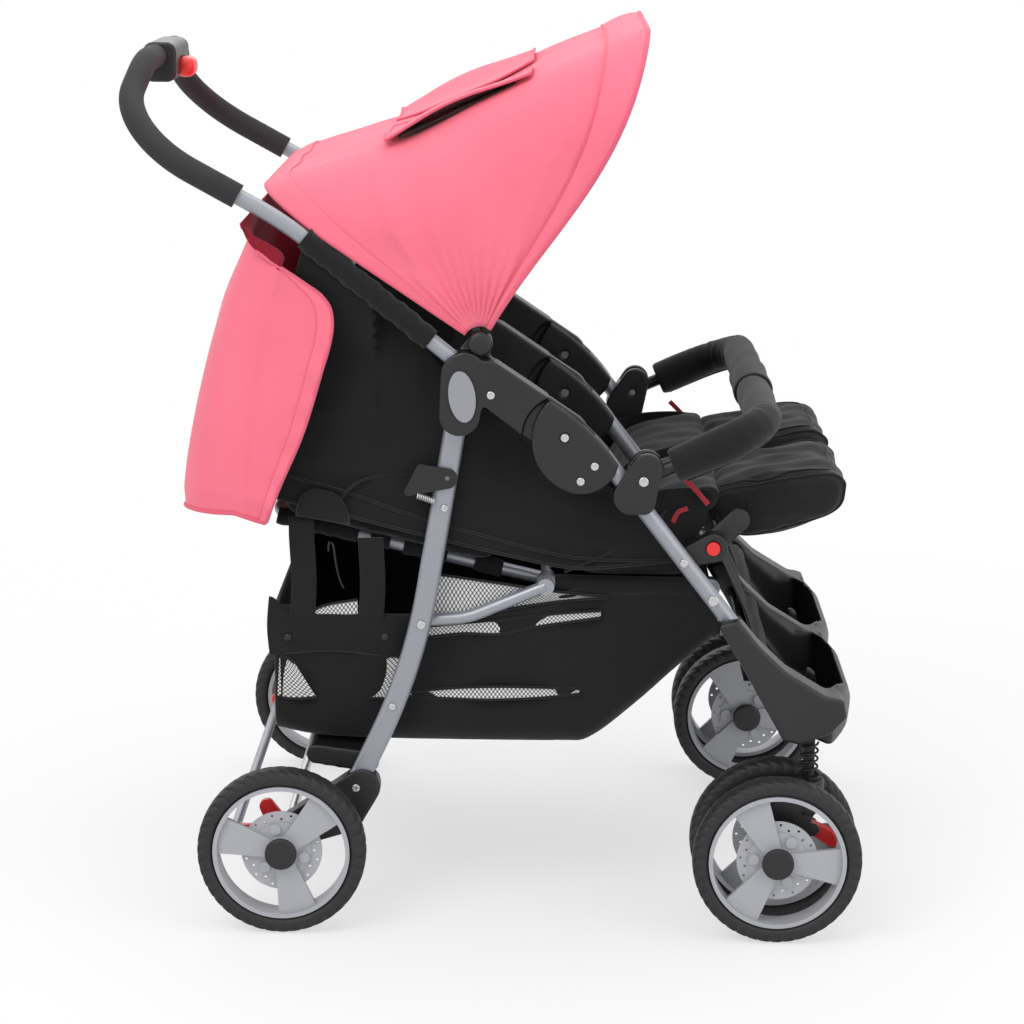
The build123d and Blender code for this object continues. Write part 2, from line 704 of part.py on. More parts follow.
lug_out = truss_y - truss_width / 2 + 2 * lug_half
bow_thick = 3.0
front_bow_half = lug_out + face_gap + bow_thick
middle_bow_half = front_bow_half + face_gap + bow_thick
canopy_head = 3.0
canopy_knob_radius = 12.5
pin_flange = 3.0
with BuildPart() as handle_fasteners:
    for hand in sides:
        pin_out = truss_y + truss_width / 2 - face_gap
        pin_in = rear_leg_y - rear_leg_depth / 2
        extrude(disc_face(hand * (pin_out + pin_in) / 2, rear_pivot, arm_pin_radius),
                amount=(pin_out - pin_in) / 2, both=True)
        extrude(disc_face(hand * (pin_in - face_gap - 1), rear_pivot, arm_pin_radius + pin_flange), amount=1,
                both=True)
        extrude(disc_face(hand * (pin_in - face_gap / 2), rear_pivot, arm_pin_radius - 1), amount=face_gap,
                both=True)
        extrude(disc_face(hand * (truss_y + truss_width / 2 + head_depth / 2), arm_screw, screw_head),
                amount=head_depth / 2, both=True)
        head_in = middle_bow_half + face_gap
        extrude(disc_face(hand * (head_in + lug_out) / 2, canopy_pivot, canopy_pin_radius),
                amount=(head_in - lug_out) / 2 + lug_half, both=True)
        extrude(disc_face(hand * (head_in + canopy_head / 2), canopy_pivot, canopy_knob_radius),
                amount=canopy_head / 2, both=True)
save(handle_fasteners, "handle_fasteners")

# ---------------------------------------------------------------- canopy
hood_wall = 3.0
hood_half = middle_bow_half + face_gap + hood_wall
hood_corner = 110.0
hood_start = 20.0
hood_sections = ((143, 294), (126, 258), (108, 245), (90, 274), (76, 324), (62, 404))
bow_eye_radius = 12.0
bow_width = 8.0
brim_depth = 18.0               # front bow's crest behind the hood's front edge
bow_clearance = 1.2
bow_lead = 0.7                  # degrees that the front bow lies inside the front section


def bow_plane(angle):
    """Plane through the canopy pivot: local x runs across and local y runs out at the angle."""
    turned = math.radians(angle)
    return Plane(at3(*canopy_pivot, 0), x_dir=(0, 1, 0), z_dir=(math.sin(turned), 0, -math.cos(turned)))


def arch_face(angle, half_width, start, height, corner, wall):
    """Inverted U of one wall thickness, from a start distance out to a height."""
    inner_half = half_width - wall
    with BuildSketch(bow_plane(angle)) as sketch:
        with BuildLine():
            FilletPolyline((-half_width, start), (-half_width, height), (half_width, height),
                           (half_width, start), radius=corner)
            FilletPolyline((-inner_half, start), (-inner_half, height - wall), (inner_half, height - wall),
                           (inner_half, start), radius=corner - wall)
            Line((-half_width, start), (-inner_half, start))
            Line((half_width, start), (inner_half, start))
        make_face()
    return sketch.sketch


with BuildPart() as canopy_hood:
    loft([arch_face(angle, hood_half, hood_start, height, hood_corner, hood_wall).face()
          for angle, height in hood_sections])
save(canopy_hood, "canopy_hood")


def build_bow(angle, half_width, height):
    """Flat strip bent over the seats, with an eye on the canopy pivot at each end."""
    corner = hood_corner - hood_wall - (hood_half - hood_wall - half_width)
    with BuildPart() as bow:
        extrude(arch_face(angle, half_width, 0, height, corner, bow_thick), amount=bow_width / 2, both=True)
        for hand in sides:
            middle = hand * (half_width - bow_thick / 2)
            extrude(disc_face(middle, canopy_pivot, bow_eye_radius), amount=bow_thick / 2, both=True)
            extrude(disc_face(middle, canopy_pivot, canopy_pin_radius + running), amount=bow_thick, both=True,
                    mode=Mode.SUBTRACT)
    return bow


front_bow_angle = hood_sections[-1][0] + bow_lead
front_bow_height = hood_sections[-1][1] - hood_wall - brim_depth
middle_bow_angle = hood_sections[2][0]
middle_bow_height = hood_sections[2][1] - hood_wall - bow_clearance
save(build_bow(front_bow_angle, front_bow_half, front_bow_height), "canopy_front_bow")
save(build_bow(middle_bow_angle, middle_bow_half, middle_bow_height), "canopy_middle_bow")

# ---------------------------------------------------------------- fabric on the handle frame
flap_wall = 3.0
flap_half = truss_y + 5.0
flap_corner = 60.0
flap_low = ((-112.0, 522.0), (-50.0, 478.0), (-23.0, 482.0))
flap_front = (57.0, 724.0)
tube_slope = math.atan2(tube_bend[1] - tube_end[1], tube_bend[0] - tube_end[0])
grip_slope = math.atan2(handle_corner[1] - tube_bend[1], handle_corner[0] - tube_bend[0])


def under_tube(start, slope, x, offset):
    """Point below the handle tube's centre line at x, a distance square to the tube."""
    return (x, start[1] + (x - start[0]) * math.tan(slope) - offset / abs(math.cos(slope)))


flap_drop = foam_radius + face_gap
flap_top_x = (-52.0, -4.0, 36.0)
flap_top = [under_tube(tube_bend, grip_slope, flap_top_x[0], flap_drop),
            under_tube(tube_bend, grip_slope, flap_top_x[1], handle_radius + 4.0),
            under_tube(tube_end, tube_slope, flap_top_x[2], handle_radius + face_gap)]
flap_side = [flap_top[0], *flap_low, flap_front, flap_top[2], flap_top[1]]
with BuildPart() as rear_flap:
    extrude(outline_face(0, flap_side), amount=flap_half, both=True)
    flap_back = rear_flap.faces().sort_by(Axis.X)[0]
    fillet(flap_back.edges().filter_by(lambda edge: abs(edge.tangent_at(0.5).Y) < 0.01), flap_corner)
    flap_back = rear_flap.faces().sort_by(Axis.X)[0]
    open_faces = rear_flap.faces().filter_by(lambda face: face.geom_type == GeomType.PLANE
                                             and abs(face.normal_at().Y) < 0.01
                                             and (face.center() - flap_back.center()).length > 1)
    offset(amount=-flap_wall, openings=open_faces)
save(rear_flap, "rear_flap")

panel_thick = 4.0
panel_corner = 6.0
panel_outer = rear_leg_y - rear_leg_depth / 2 - face_gap
panel_outline = ((46, 752), (150, 668), (196, 622), (270, 590), (330, 536), (404, 512), (462, 436), (455, 422),
                 (322, 421), (140, 462), (-14, 497), (-52, 500), (-40, 620))
with BuildPart() as side_panels:
    for hand in sides:
        extrude(outline_face(hand * (panel_outer - panel_thick / 2), panel_outline, panel_corner),
                amount=panel_thick / 2, both=True)
save(side_panels, "side_panels")

# ---------------------------------------------------------------- rear frame
rear_leg_width = 26.0
rear_leg_top = (209.0, 655.0)
rear_leg_knee = (152.7, 310.0)
rear_leg_foot = (60.0, 110.0)
rear_leg_bend = 700.0
rivet_radius = 3.0


def leg_section(path, width, depth):
    start = path @ 0
    with BuildSketch(Plane(origin=start, x_dir=(0, 1, 0), z_dir=path % 0)) as sketch:
        SlotOverall(width, depth, rotation=90)
    return sketch.sketch


def rear_leg_path(hand):
    y = hand * rear_leg_y
    return route([at3(*rear_leg_top, y), at3(*rear_leg_knee, y), at3(*rear_leg_foot, y)], rear_leg_bend)


with BuildPart() as rear_legs:
    for hand in sides:
        path = rear_leg_path(hand)
        sweep(leg_section(path, rear_leg_width, rear_leg_depth), path=path)
        middle = hand * rear_leg_y
        extrude(disc_face(middle, rear_pivot, rear_leg_width / 2 + 1), amount=rear_leg_depth / 2, both=True)
        extrude(disc_face(middle, rear_pivot, arm_pin_radius + running), amount=rear_leg_depth, both=True,
                mode=Mode.SUBTRACT)
        extrude(disc_face(middle, brace_low, rivet_radius + seated), amount=rear_leg_depth, both=True,
                mode=Mode.SUBTRACT)
save(rear_legs, "rear_legs")

bracket_wall = 6.0
bracket_in = rear_leg_y - rear_leg_depth / 2 - bracket_wall
bracket_out = rear_leg_y + rear_leg_depth / 2 + bracket_wall
wheel_bracket_lobes = ((0, wheel_radius, 19), (74, 122, 18), (91, 160, 22))
bracket_screw = (84.0, 160.0)
cross_member_lobes = ((34, 193, 12), (97, 184, 13))
with BuildPart() as wheel_brackets:
    for hand in sides:
        middle = hand * (bracket_in + bracket_out) / 2
        half = (bracket_out - bracket_in) / 2
        extrude(hull_face(middle, *wheel_bracket_lobes), amount=half, both=True)
        path = rear_leg_path(hand)
        sweep(leg_section(path, rear_leg_width + 2 * seated, rear_leg_depth + 2 * seated), path=path,
              mode=Mode.SUBTRACT)
        extrude(disc_face(middle, (0, wheel_radius), rear_axle_radius + seated), amount=2 * half, both=True,
                mode=Mode.SUBTRACT)
save(wheel_brackets, "wheel_brackets")

with BuildPart() as rear_cross_member:
    extrude(hull_face(0, *cross_member_lobes), amount=bracket_in, both=True)
save(rear_cross_member, "rear_cross_member")

with BuildPart() as rear_axle:
    extrude(disc_face(0, (0, wheel_radius), rear_axle_radius), amount=rear_wheel_y + tyre_width / 2, both=True)
save(rear_axle, "rear_axle")

leg_rivets = ((188.0, 503.0), (127.0, 260.0))
rivet_head = 4.0
rivet_depth = 2.0
with BuildPart() as rear_fasteners:
    for hand in sides:
        leg_out = rear_leg_y + rear_leg_depth / 2
        for place in leg_rivets:
            extrude(disc_face(hand * (leg_out + rivet_depth / 2), place, rivet_head), amount=rivet_depth / 2,
                    both=True)
        pin_in = brace_y - brace_radius
        extrude(disc_face(hand * (leg_out + pin_in) / 2, brace_low, rivet_radius),
                amount=(leg_out - pin_in) / 2, both=True)
        extrude(disc_face(hand * (leg_out + rivet_depth / 2), brace_low, rivet_head + 1),
                amount=rivet_depth / 2, both=True)
        extrude(disc_face(hand * (bracket_out + rivet_depth / 2), bracket_screw, screw_head),
                amount=rivet_depth / 2, both=True)
save(rear_fasteners, "rear_fasteners")

catch_in = rear_leg_y + rear_leg_depth / 2 + face_gap
catch_depth = 4.0
catch_lobes = ((*latch_pivot, 12), (160, 551, 5), (146, 523, 5))
with BuildPart() as fold_catch:
    middle = -(catch_in + catch_depth / 2)
    extrude(hull_face(middle, *catch_lobes), amount=catch_depth / 2, both=True)
    extrude(disc_face(middle, latch_pivot, rivet_radius + running), amount=catch_depth, both=True,
            mode=Mode.SUBTRACT)
save(fold_catch, "fold_catch")

lever_in = bracket_out + rivet_depth + 0.5
lever_depth = 7.0
brake_bar_radius = 6.0
lever_hub = (0, wheel_radius, 15)
lever_heel = (-22, 138, 9)
with BuildPart() as brake_levers:
    for hand in sides:
        middle = hand * (lever_in + lever_depth / 2)
        extrude(hull_face(middle, lever_hub, (*brake_bar_at, brake_bar_radius + 4)), amount=lever_depth / 2,
                both=True)
        extrude(hull_face(middle, lever_hub, lever_heel), amount=lever_depth / 2, both=True)
        extrude(disc_face(middle, (0, wheel_radius), rear_axle_radius + running), amount=lever_depth,
                both=True, mode=Mode.SUBTRACT)
        extrude(disc_face(middle, brake_bar_at, brake_bar_radius + seated), amount=lever_depth, both=True,
                mode=Mode.SUBTRACT)
save(brake_levers, "brake_levers")

with BuildPart() as brake_bar:
    extrude(disc_face(0, brake_bar_at, brake_bar_radius), amount=lever_in + lever_depth, both=True)
save(brake_bar, "brake_bar")

brace_knee = (215.0, 365.0)
brace_bend = 100.0
brace_eye_wall = 2.5
brace_eye_inset = 1.5
with BuildPart() as braces:
    for hand in sides:
        y = hand * brace_y
        path = route([at3(*brace_low, y), at3(*brace_knee, y), at3(*brace_high, y)], brace_bend)
        sweep(ring_on(path, brace_radius), path=path)
        for place in (brace_low, brace_high):
            extrude(disc_face(y, place, brace_radius + brace_eye_wall), amount=brace_radius - brace_eye_inset,
                    both=True)
        extrude(disc_face(y, brace_low, rivet_radius + running), amount=rear_leg_depth, both=True,
                mode=Mode.SUBTRACT)
save(braces, "braces")

# ---------------------------------------------------------------- seats
rod_radius = 6.0
seat_cross = between(brace_high, rail_front, 0.86)
rail_eye_wall = 2.0
rail_eye_inset = 1.0
with BuildPart() as seat_frame:
    for hand in sides:
        for rail in (inner_rail_y, rail_y):
            path = route([at3(*brace_high, hand * rail), at3(*rail_front, hand * rail)], 0)
            sweep(ring_on(path, rail_radius), path=path)
            for place in (brace_high, rail_front):
                extrude(disc_face(hand * rail, place, rail_radius + rail_eye_wall),
                        amount=rail_radius - rail_eye_inset, both=True)
        middle = hand * (inner_rail_y + rail_y) / 2
        reach = (rail_y - inner_rail_y) / 2
        extrude(disc_face(middle, brace_high, rod_radius), amount=reach, both=True)
        extrude(disc_face(middle, seat_cross, rail_radius - rail_eye_inset), amount=reach, both=True)
        for rail in (inner_rail_y, rail_y):
            extrude(disc_face(hand * rail, rail_front, seat_pin_radius + running), amount=2 * rail_radius,
                    both=True, mode=Mode.SUBTRACT)
save(seat_frame, "seat_frame")

cushion_thick = 38.0
cushion_rear = 334.0
cushion_front = 496.0
cushion_corner = 30.0
cushion_edge = 14.0
cushion_low = brace_high[1] + rail_radius + face_gap
with BuildPart() as seat_cushions:
    for hand in sides:
        with BuildSketch(Plane.XY.offset(cushion_low)) as cushion_plan:
            with Locations(((cushion_rear + cushion_front) / 2 + axle_x, hand * seat_y)):
                RectangleRounded(cushion_front - cushion_rear, 2 * seat_half, cushion_corner)
        extrude(cushion_plan.sketch, amount=cushion_thick)
    fillet(seat_cushions.edges().group_by(Axis.Z)[-1], cushion_edge)
save(seat_cushions, "seat_cushions")

back_end = (-14.0, 479.0)
back_tube_radius = 8.0
back_half = 80.0
back_bend = 45.0
back_eye_wall = 5.0
pad_corner = 40.0
pad_near = 58.0
pad_far = 336.0
pad_thick = 20.0
pad_bevel = 9.0
back_along = Vector(back_end[0] - brace_high[0], 0, back_end[1] - brace_high[1]).normalized()
for name, hand in (("left", 1), ("right", -1)):
    with BuildPart() as backrest_frame:
        inner_y = hand * (seat_y - back_half)
        outer_y = hand * (seat_y + back_half)
        path = route([at3(*brace_high, inner_y), at3(*back_end, inner_y), at3(*back_end, outer_y),
                      at3(*brace_high, outer_y)], back_bend)
        sweep(ring_on(path, back_tube_radius), path=path)
        for y in (inner_y, outer_y):
            extrude(disc_face(y, brace_high, rod_radius + back_eye_wall), amount=back_tube_radius, both=True)
            extrude(disc_face(y, brace_high, rod_radius + running), amount=2 * back_tube_radius, both=True,
                    mode=Mode.SUBTRACT)
    save(backrest_frame, f"backrest_frame_{name}")

    rise = Plane(origin=at3(*brace_high, hand * seat_y), x_dir=back_along, z_dir=back_along.rotate(Axis.Y, 90))
    with BuildPart() as backrest_pad:
        with BuildSketch(rise.offset(back_tube_radius + face_gap)) as pad_plan:
            with Locations(((pad_near + pad_far) / 2, 0)):
                RectangleRounded(pad_far - pad_near, 2 * seat_half, pad_corner)
        extrude(pad_plan.sketch, amount=pad_thick)
        fillet(backrest_pad.edges().group_by(Axis(rise.origin, rise.z_dir))[-1], pad_bevel)
    save(backrest_pad, f"backrest_pad_{name}")

# leg rests
legrest_outline = shifted(*legrest_pivot, (-12, 39), (2, 19), (31, 8), (106, 24), (132, 37), (148, 58),
                          (153, 79), (136, 86), (96, 81), (36, 70), (-8, 58))
legrest_corner = 8.0
lug_thick = 6.0
lug_end_radius = 14.0
lug_foot = (legrest_pivot[0] + 36.0, legrest_pivot[1] + 35.0)
lug_rod_radius = 6.0
stub_clearance = 0.5
for name, hand in (("left", 1), ("right", -1)):
    inner = middle_hub_half + face_gap
    outer = hub_in - face_gap
    with BuildPart() as leg_rest:
        extrude(outline_face(hand * seat_y, legrest_outline, legrest_corner), amount=seat_half, both=True)
        for y in (inner + lug_thick / 2, outer - lug_thick / 2):
            extrude(hull_face(hand * y, (*legrest_pivot, lug_end_radius), (*lug_foot, lug_end_radius)),
                    amount=lug_thick / 2, both=True)
        extrude(disc_face(hand * (inner + outer) / 2, lug_foot, lug_rod_radius), amount=(outer - inner) / 2,
                both=True)
        stub_end = button_seat - button_push - stub_clearance
        extrude(disc_face(hand * (outer + stub_end) / 2, legrest_pivot, stub_radius),
                amount=(stub_end - outer) / 2, both=True)
        extrude(disc_face(hand * (inner + face_gap) / 2, legrest_pivot, inner_stub_radius),
                amount=(inner - face_gap) / 2, both=True)
    save(leg_rest, f"leg_rest_{name}")

# ---------------------------------------------------------------- basket
basket_half = brace_y - brace_radius - face_gap
basket_wall = 3.0
basket_outline = ((-14, 388), (-8, 212), (110, 207), (132, 202), (368, 204), (458, 312), (484, 350),
                  (300, 372), (150, 386))
tub_outline = ((-14 + basket_wall, 500), (-8 + basket_wall, 212 + basket_wall), (110, 207 + basket_wall),
               (132, 202 + basket_wall), (366, 204 + basket_wall), (453, 314), (484 - basket_wall, 352),
               (484 - basket_wall, 500))
with BuildPart() as basket:
    extrude(outline_face(0, basket_outline), amount=basket_half, both=True)
    extrude(outline_face(0, tub_outline), amount=basket_half - basket_wall, both=True, mode=Mode.SUBTRACT)
save(basket, "basket")
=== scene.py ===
import json
import math
import bmesh
import bpy
import numpy as np
from mathutils import Matrix, Vector
from mathutils.bvhtree import BVHTree


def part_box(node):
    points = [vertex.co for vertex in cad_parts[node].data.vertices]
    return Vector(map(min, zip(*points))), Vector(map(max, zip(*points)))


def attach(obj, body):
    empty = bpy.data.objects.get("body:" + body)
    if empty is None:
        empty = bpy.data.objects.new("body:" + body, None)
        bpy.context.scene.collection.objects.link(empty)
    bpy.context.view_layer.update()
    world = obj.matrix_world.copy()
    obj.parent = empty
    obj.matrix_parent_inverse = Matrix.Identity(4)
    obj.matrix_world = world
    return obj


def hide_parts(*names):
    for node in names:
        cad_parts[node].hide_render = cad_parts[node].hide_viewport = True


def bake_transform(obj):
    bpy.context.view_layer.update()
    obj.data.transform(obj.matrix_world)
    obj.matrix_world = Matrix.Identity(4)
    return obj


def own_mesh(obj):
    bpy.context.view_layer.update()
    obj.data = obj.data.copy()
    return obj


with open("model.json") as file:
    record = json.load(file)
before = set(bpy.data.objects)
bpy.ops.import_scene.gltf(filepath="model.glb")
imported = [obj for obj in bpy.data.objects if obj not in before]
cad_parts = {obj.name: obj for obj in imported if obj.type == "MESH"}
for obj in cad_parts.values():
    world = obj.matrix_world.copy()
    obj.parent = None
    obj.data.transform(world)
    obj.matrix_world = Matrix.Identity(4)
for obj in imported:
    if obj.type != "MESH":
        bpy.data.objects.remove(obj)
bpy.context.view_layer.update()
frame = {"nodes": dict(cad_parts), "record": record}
nodes = frame["nodes"]
print("frame loaded:", len(nodes), "nodes")

# ---- places: side-view millimetres from the floor point under the rear axle
axleLow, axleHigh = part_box("rear_axle")
axleX = (axleLow.x + axleHigh.x) / 2
mm = 0.001
sides = (-1, 1)
sideName = {-1: "right", 1: "left"}


def spots(points):
    # rows of (x, z, y) millimetres become rows of metres in the frame
    p = np.asarray(points, float)
    return np.stack([axleX + p[..., 0] * mm, p[..., 2] * mm, p[..., 1] * mm], -1)


def ease(x, low, high):
    # 0 below low, 1 above high, and a smooth S between them
    t = np.clip((x - low) / (high - low), 0, 1)
    return t * t * (3 - 2 * t)


def smoothPath(points, count, closed=False):
    # a Catmull-Rom curve through the points, sampled evenly along its length
    p = np.asarray(points, float)
    n = len(p)
    if closed:
        padded = np.vstack([p[-1:], p, p[:2]])
        spans = n
    else:
        padded = np.vstack([2 * p[:1] - p[1:2], p, 2 * p[-1:] - p[-2:-1]])
        spans = n - 1
    t = np.linspace(0, spans, 40 * spans + 1)
    i = np.minimum(t.astype(int), spans - 1)
    f = (t - i)[:, None]
    a, b, c, d = (padded[i + k] for k in range(4))
    curve = 0.5 * (2 * b + (c - a) * f + (2 * a - 5 * b + 4 * c - d) * f ** 2 + (3 * b - a - 3 * c + d) * f ** 3)
    reach = np.concatenate([[0], np.cumsum(np.linalg.norm(np.diff(curve, axis=0), axis=1))])
    even = np.linspace(0, reach[-1], count + 1)[:-1] if closed else np.linspace(0, reach[-1], count)
    return np.stack([np.interp(even, reach, curve[:, k]) for k in range(p.shape[1])], -1)


# ---- meshes from grids
def makeObject(name, verts, faces, uv=None):
    # a smooth-shaded object in the scene from corners, faces and one UV pair for each face corner
    mesh = bpy.data.meshes.new(name)
    mesh.from_pydata(verts.tolist(), [], faces)
    if uv is not None:
        layer = mesh.uv_layers.new(name="cloth")
        layer.data.foreach_set("uv", uv.ravel())
    mesh.validate()
    mesh.update()
    mesh.shade_smooth()
    obj = bpy.data.objects.new(name, mesh)
    bpy.context.scene.collection.objects.link(obj)
    return obj


def gridObject(name, points, wrapU=False, wrapV=False, capEnds=False, inside=None):
    # points[u, v] is a grid of places; neighbours are joined by quads, and the UV map holds lengths in metres
    nu, nv = points.shape[:2]
    index = np.arange(nu * nv).reshape(nu, nv)
    full = points
    if wrapU:
        index = np.concatenate([index, index[:1]], 0)
        full = np.concatenate([full, full[:1]], 0)
    if wrapV:
        index = np.concatenate([index, index[:, :1]], 1)
        full = np.concatenate([full, full[:, :1]], 1)
    stepU = np.linalg.norm(np.diff(full, axis=0), axis=2).mean(1)
    stepV = np.linalg.norm(np.diff(full, axis=1), axis=2).mean(0)
    lengthU = np.concatenate([[0], np.cumsum(stepU)])
    lengthV = np.concatenate([[0], np.cumsum(stepV)])
    lengths = np.stack(np.meshgrid(lengthU, lengthV, indexing="ij"), -1)

    def corners(a):
        return np.stack([a[:-1, :-1], a[1:, :-1], a[1:, 1:], a[:-1, 1:]], 2)
    quads = corners(index).reshape(-1, 4)
    uv = corners(lengths).reshape(-1, 4, 2)
    verts = points.reshape(-1, 3)
    if inside is not None:
        p = verts[quads]
        normals = np.cross(p[:, 2] - p[:, 0], p[:, 3] - p[:, 1])
        if ((p.mean(1) - np.asarray(inside)) * normals).sum() < 0:
            quads = quads[:, ::-1]
            uv = uv[:, ::-1]
    faces = quads.tolist()
    uv = uv.reshape(-1, 2)
    if capEnds:
        faces += [index[0, :nv].tolist(), index[-1, :nv].tolist()]
        uv = np.vstack([uv, np.zeros((2 * nv, 2))])
    obj = makeObject(name, verts, faces, uv)
    if capEnds:
        bpy.context.view_layer.objects.active = obj
        fixNormals(obj)
    return obj


def fixNormals(obj):
    # doubles are merged, and then every face is turned to point outwards
    work = bmesh.new()
    work.from_mesh(obj.data)
    bmesh.ops.remove_doubles(work, verts=work.verts, dist=1e-6)
    bmesh.ops.recalc_face_normals(work, faces=work.faces)
    work.to_mesh(obj.data)
    work.free()


def frames(path, up):
    # along each place of the path: its direction, and the two directions square to it
    tangent = np.gradient(path, axis=0)
    tangent /= np.linalg.norm(tangent, axis=1)[:, None]
    across = np.cross(tangent, np.asarray(up, float))
    across /= np.linalg.norm(across, axis=1)[:, None]
    return tangent, across, np.cross(across, tangent)


def sweptObject(name, path, profile, up=(0, 1, 0), scale=None, closed=False):
    # a closed profile of (across, upward) offsets carried square to a path; scale is one number for each place
    if closed:
        longer = np.vstack([path[-1:], path, path[:1]])
        _, across, above = (a[1:-1] for a in frames(longer, up))
    else:
        _, across, above = frames(path, up)
    profile = np.broadcast_to(profile, (len(path),) + np.shape(profile)[-2:])
    if scale is not None:
        profile = profile * np.asarray(scale)[:, None, None]
    points = path[:, None] + across[:, None] * profile[..., :1] + above[:, None] * profile[..., 1:]
    return gridObject(name, points, wrapU=closed, wrapV=True, capEnds=not closed,
                      inside=path.mean(0) if closed else None)


def ring(radius, count=14, flat=1.0):
    # a circle of places, flattened in its second direction
    a = np.linspace(0, 2 * np.pi, count, endpoint=False)
    return np.stack([radius * np.cos(a), radius * flat * np.sin(a)], -1)


def roundBar(halfWidth, halfDepth, power=4.0, count=20):
    # a superellipse: |x / halfWidth| ^ power + |y / halfDepth| ^ power = 1
    a = np.linspace(0, 2 * np.pi, count, endpoint=False)
    c, s = np.cos(a), np.sin(a)
    return np.stack([halfWidth * np.sign(c) * np.abs(c) ** (2 / power),
                     halfDepth * np.sign(s) * np.abs(s) ** (2 / power)], -1)


def turnedObject(name, centre, axis, profile, count=48, ripple=None):
    # rows of (radius, depth) turned about an axis through the centre; ripple(angle) adds to the depth
    axis = np.asarray(axis, float)
    side = np.cross(axis, [0.31, 0.2, 0.93])
    side /= np.linalg.norm(side)
    other = np.cross(axis, side)
    a = np.linspace(0, 2 * np.pi, count, endpoint=False)
    spoke = np.cos(a)[:, None] * side + np.sin(a)[:, None] * other
    profile = np.asarray(profile, float)
    depth = np.broadcast_to(profile[:, 1], (count, len(profile))).copy()
    if ripple is not None:
        depth += ripple(a[:, None], profile[None, :, 0])
    points = centre + spoke[:, None] * profile[None, :, :1] + depth[..., None] * axis
    obj = gridObject(name, points, wrapU=True)
    fixNormals(obj)
    return obj


def addModifier(obj, kind, name, **values):
    # a modifier with its values set by name
    modifier = obj.modifiers.new(name, kind)
    for key, value in values.items():
        setattr(modifier, key, value)
    return modifier


def bake(obj):
    # the object's modifiers become part of its mesh
    graph = bpy.context.evaluated_depsgraph_get()
    mesh = bpy.data.meshes.new_from_object(obj.evaluated_get(graph))
    obj.modifiers.clear()
    old = obj.data
    obj.data = mesh
    bpy.data.meshes.remove(old)
    obj.data.shade_smooth()
    return obj


def smoother(obj, levels=1):
    # a subdivision that the render and the viewport share
    addModifier(obj, "SUBSURF", "smoother", levels=levels, render_levels=levels)


def thicken(obj, thickness, offset=-1.0, lining=None):
    # a sheet gets its wall; a lining material goes on the wall's far side and rim
    wall = addModifier(obj, "SOLIDIFY", "cloth thickness", thickness=thickness, offset=offset)
    if lining is not None:
        obj.data.materials.append(lining)
        wall.material_offset = 1
        wall.material_offset_rim = 1


def joined(name, parts):
    # several objects of one finish become one piece
    bpy.ops.object.select_all(action="DESELECT")
    for part in parts:
        part.select_set(True)
    bpy.context.view_layer.objects.active = parts[0]
    bpy.ops.object.join()
    parts[0].name = name
    parts[0].data.name = name
    return parts[0]


def laid(tree, path, lift=0.0):
    # every place of a path moves to the nearest place of a surface, and then out along its normal
    hits = [tree.find_nearest(Vector(spot)) for spot in path]
    return np.array([hit[0] + hit[1] * lift for hit in hits])


def surfaceTree(obj):
    # the object's faces, ready to be searched for the nearest place
    work = bmesh.new()
    work.from_mesh(obj.data)
    tree = BVHTree.FromBMesh(work)
    work.free()
    return tree


def place(obj, material, body=None, replaced=()):
    # finish a piece: its material and slot, the body it rides and the frame nodes it stands for
    obj.data.materials.clear()
    obj.data.materials.append(material)
    if body:
        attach(obj, body)
    if replaced:
        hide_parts(*replaced)
    return obj


# ---- shader groups
def newGroup(name, inputs, outputs):
    # an empty node group with named sockets, and its two end nodes
    group = bpy.data.node_groups.new(name, "ShaderNodeTree")
    for label, kind, value in inputs:
        socket = group.interface.new_socket(name=label, in_out="INPUT", socket_type=kind)
        if value is not None:
            socket.default_value = value
    for label, kind in outputs:
        group.interface.new_socket(name=label, in_out="OUTPUT", socket_type=kind)
    return group, group.nodes.new("NodeGroupInput"), group.nodes.new("NodeGroupOutput")


def mathNode(tree, operation, a, b=None):
    # one Math node; each operand is a number or a socket
    node = tree.nodes.new("ShaderNodeMath")
    node.operation = operation
    for socket, value in zip(node.inputs, (a, b)):
        if value is None:
            continue
        if isinstance(value, (int, float)):
            socket.default_value = value
        else:
            tree.links.new(value, socket)
    return node.outputs[0]


def buildWeave():
    # over and under threads: the larger of two crossed rows of rounded bars, alternating like a chequer
    group, given, result = newGroup("weave", [("Vector", "NodeSocketVector", None),
                                              ("Threads", "NodeSocketFloat", 1200.0)],
                                    [("Height", "NodeSocketFloat"), ("Thread Mask", "NodeSocketFloat")])
    link = group.links.new
    scale = group.nodes.new("ShaderNodeVectorMath")
    scale.operation = "SCALE"
    link(given.outputs["Vector"], scale.inputs[0])
    link(given.outputs["Threads"], scale.inputs["Scale"])
    parts = group.nodes.new("ShaderNodeSeparateXYZ")
    link(scale.outputs[0], parts.inputs[0])
    waveX = mathNode(group, "SINE", mathNode(group, "MULTIPLY", parts.outputs[0], math.pi))
    waveY = mathNode(group, "SINE", mathNode(group, "MULTIPLY", parts.outputs[1], math.pi))
    crossing = mathNode(group, "MULTIPLY", waveX, waveY)
    height = mathNode(group, "ADD", mathNode(group, "MULTIPLY", crossing, 0.5), 0.5)
    link(height, result.inputs["Height"])
    link(mathNode(group, "ABSOLUTE", crossing), result.inputs["Thread Mask"])
    return group


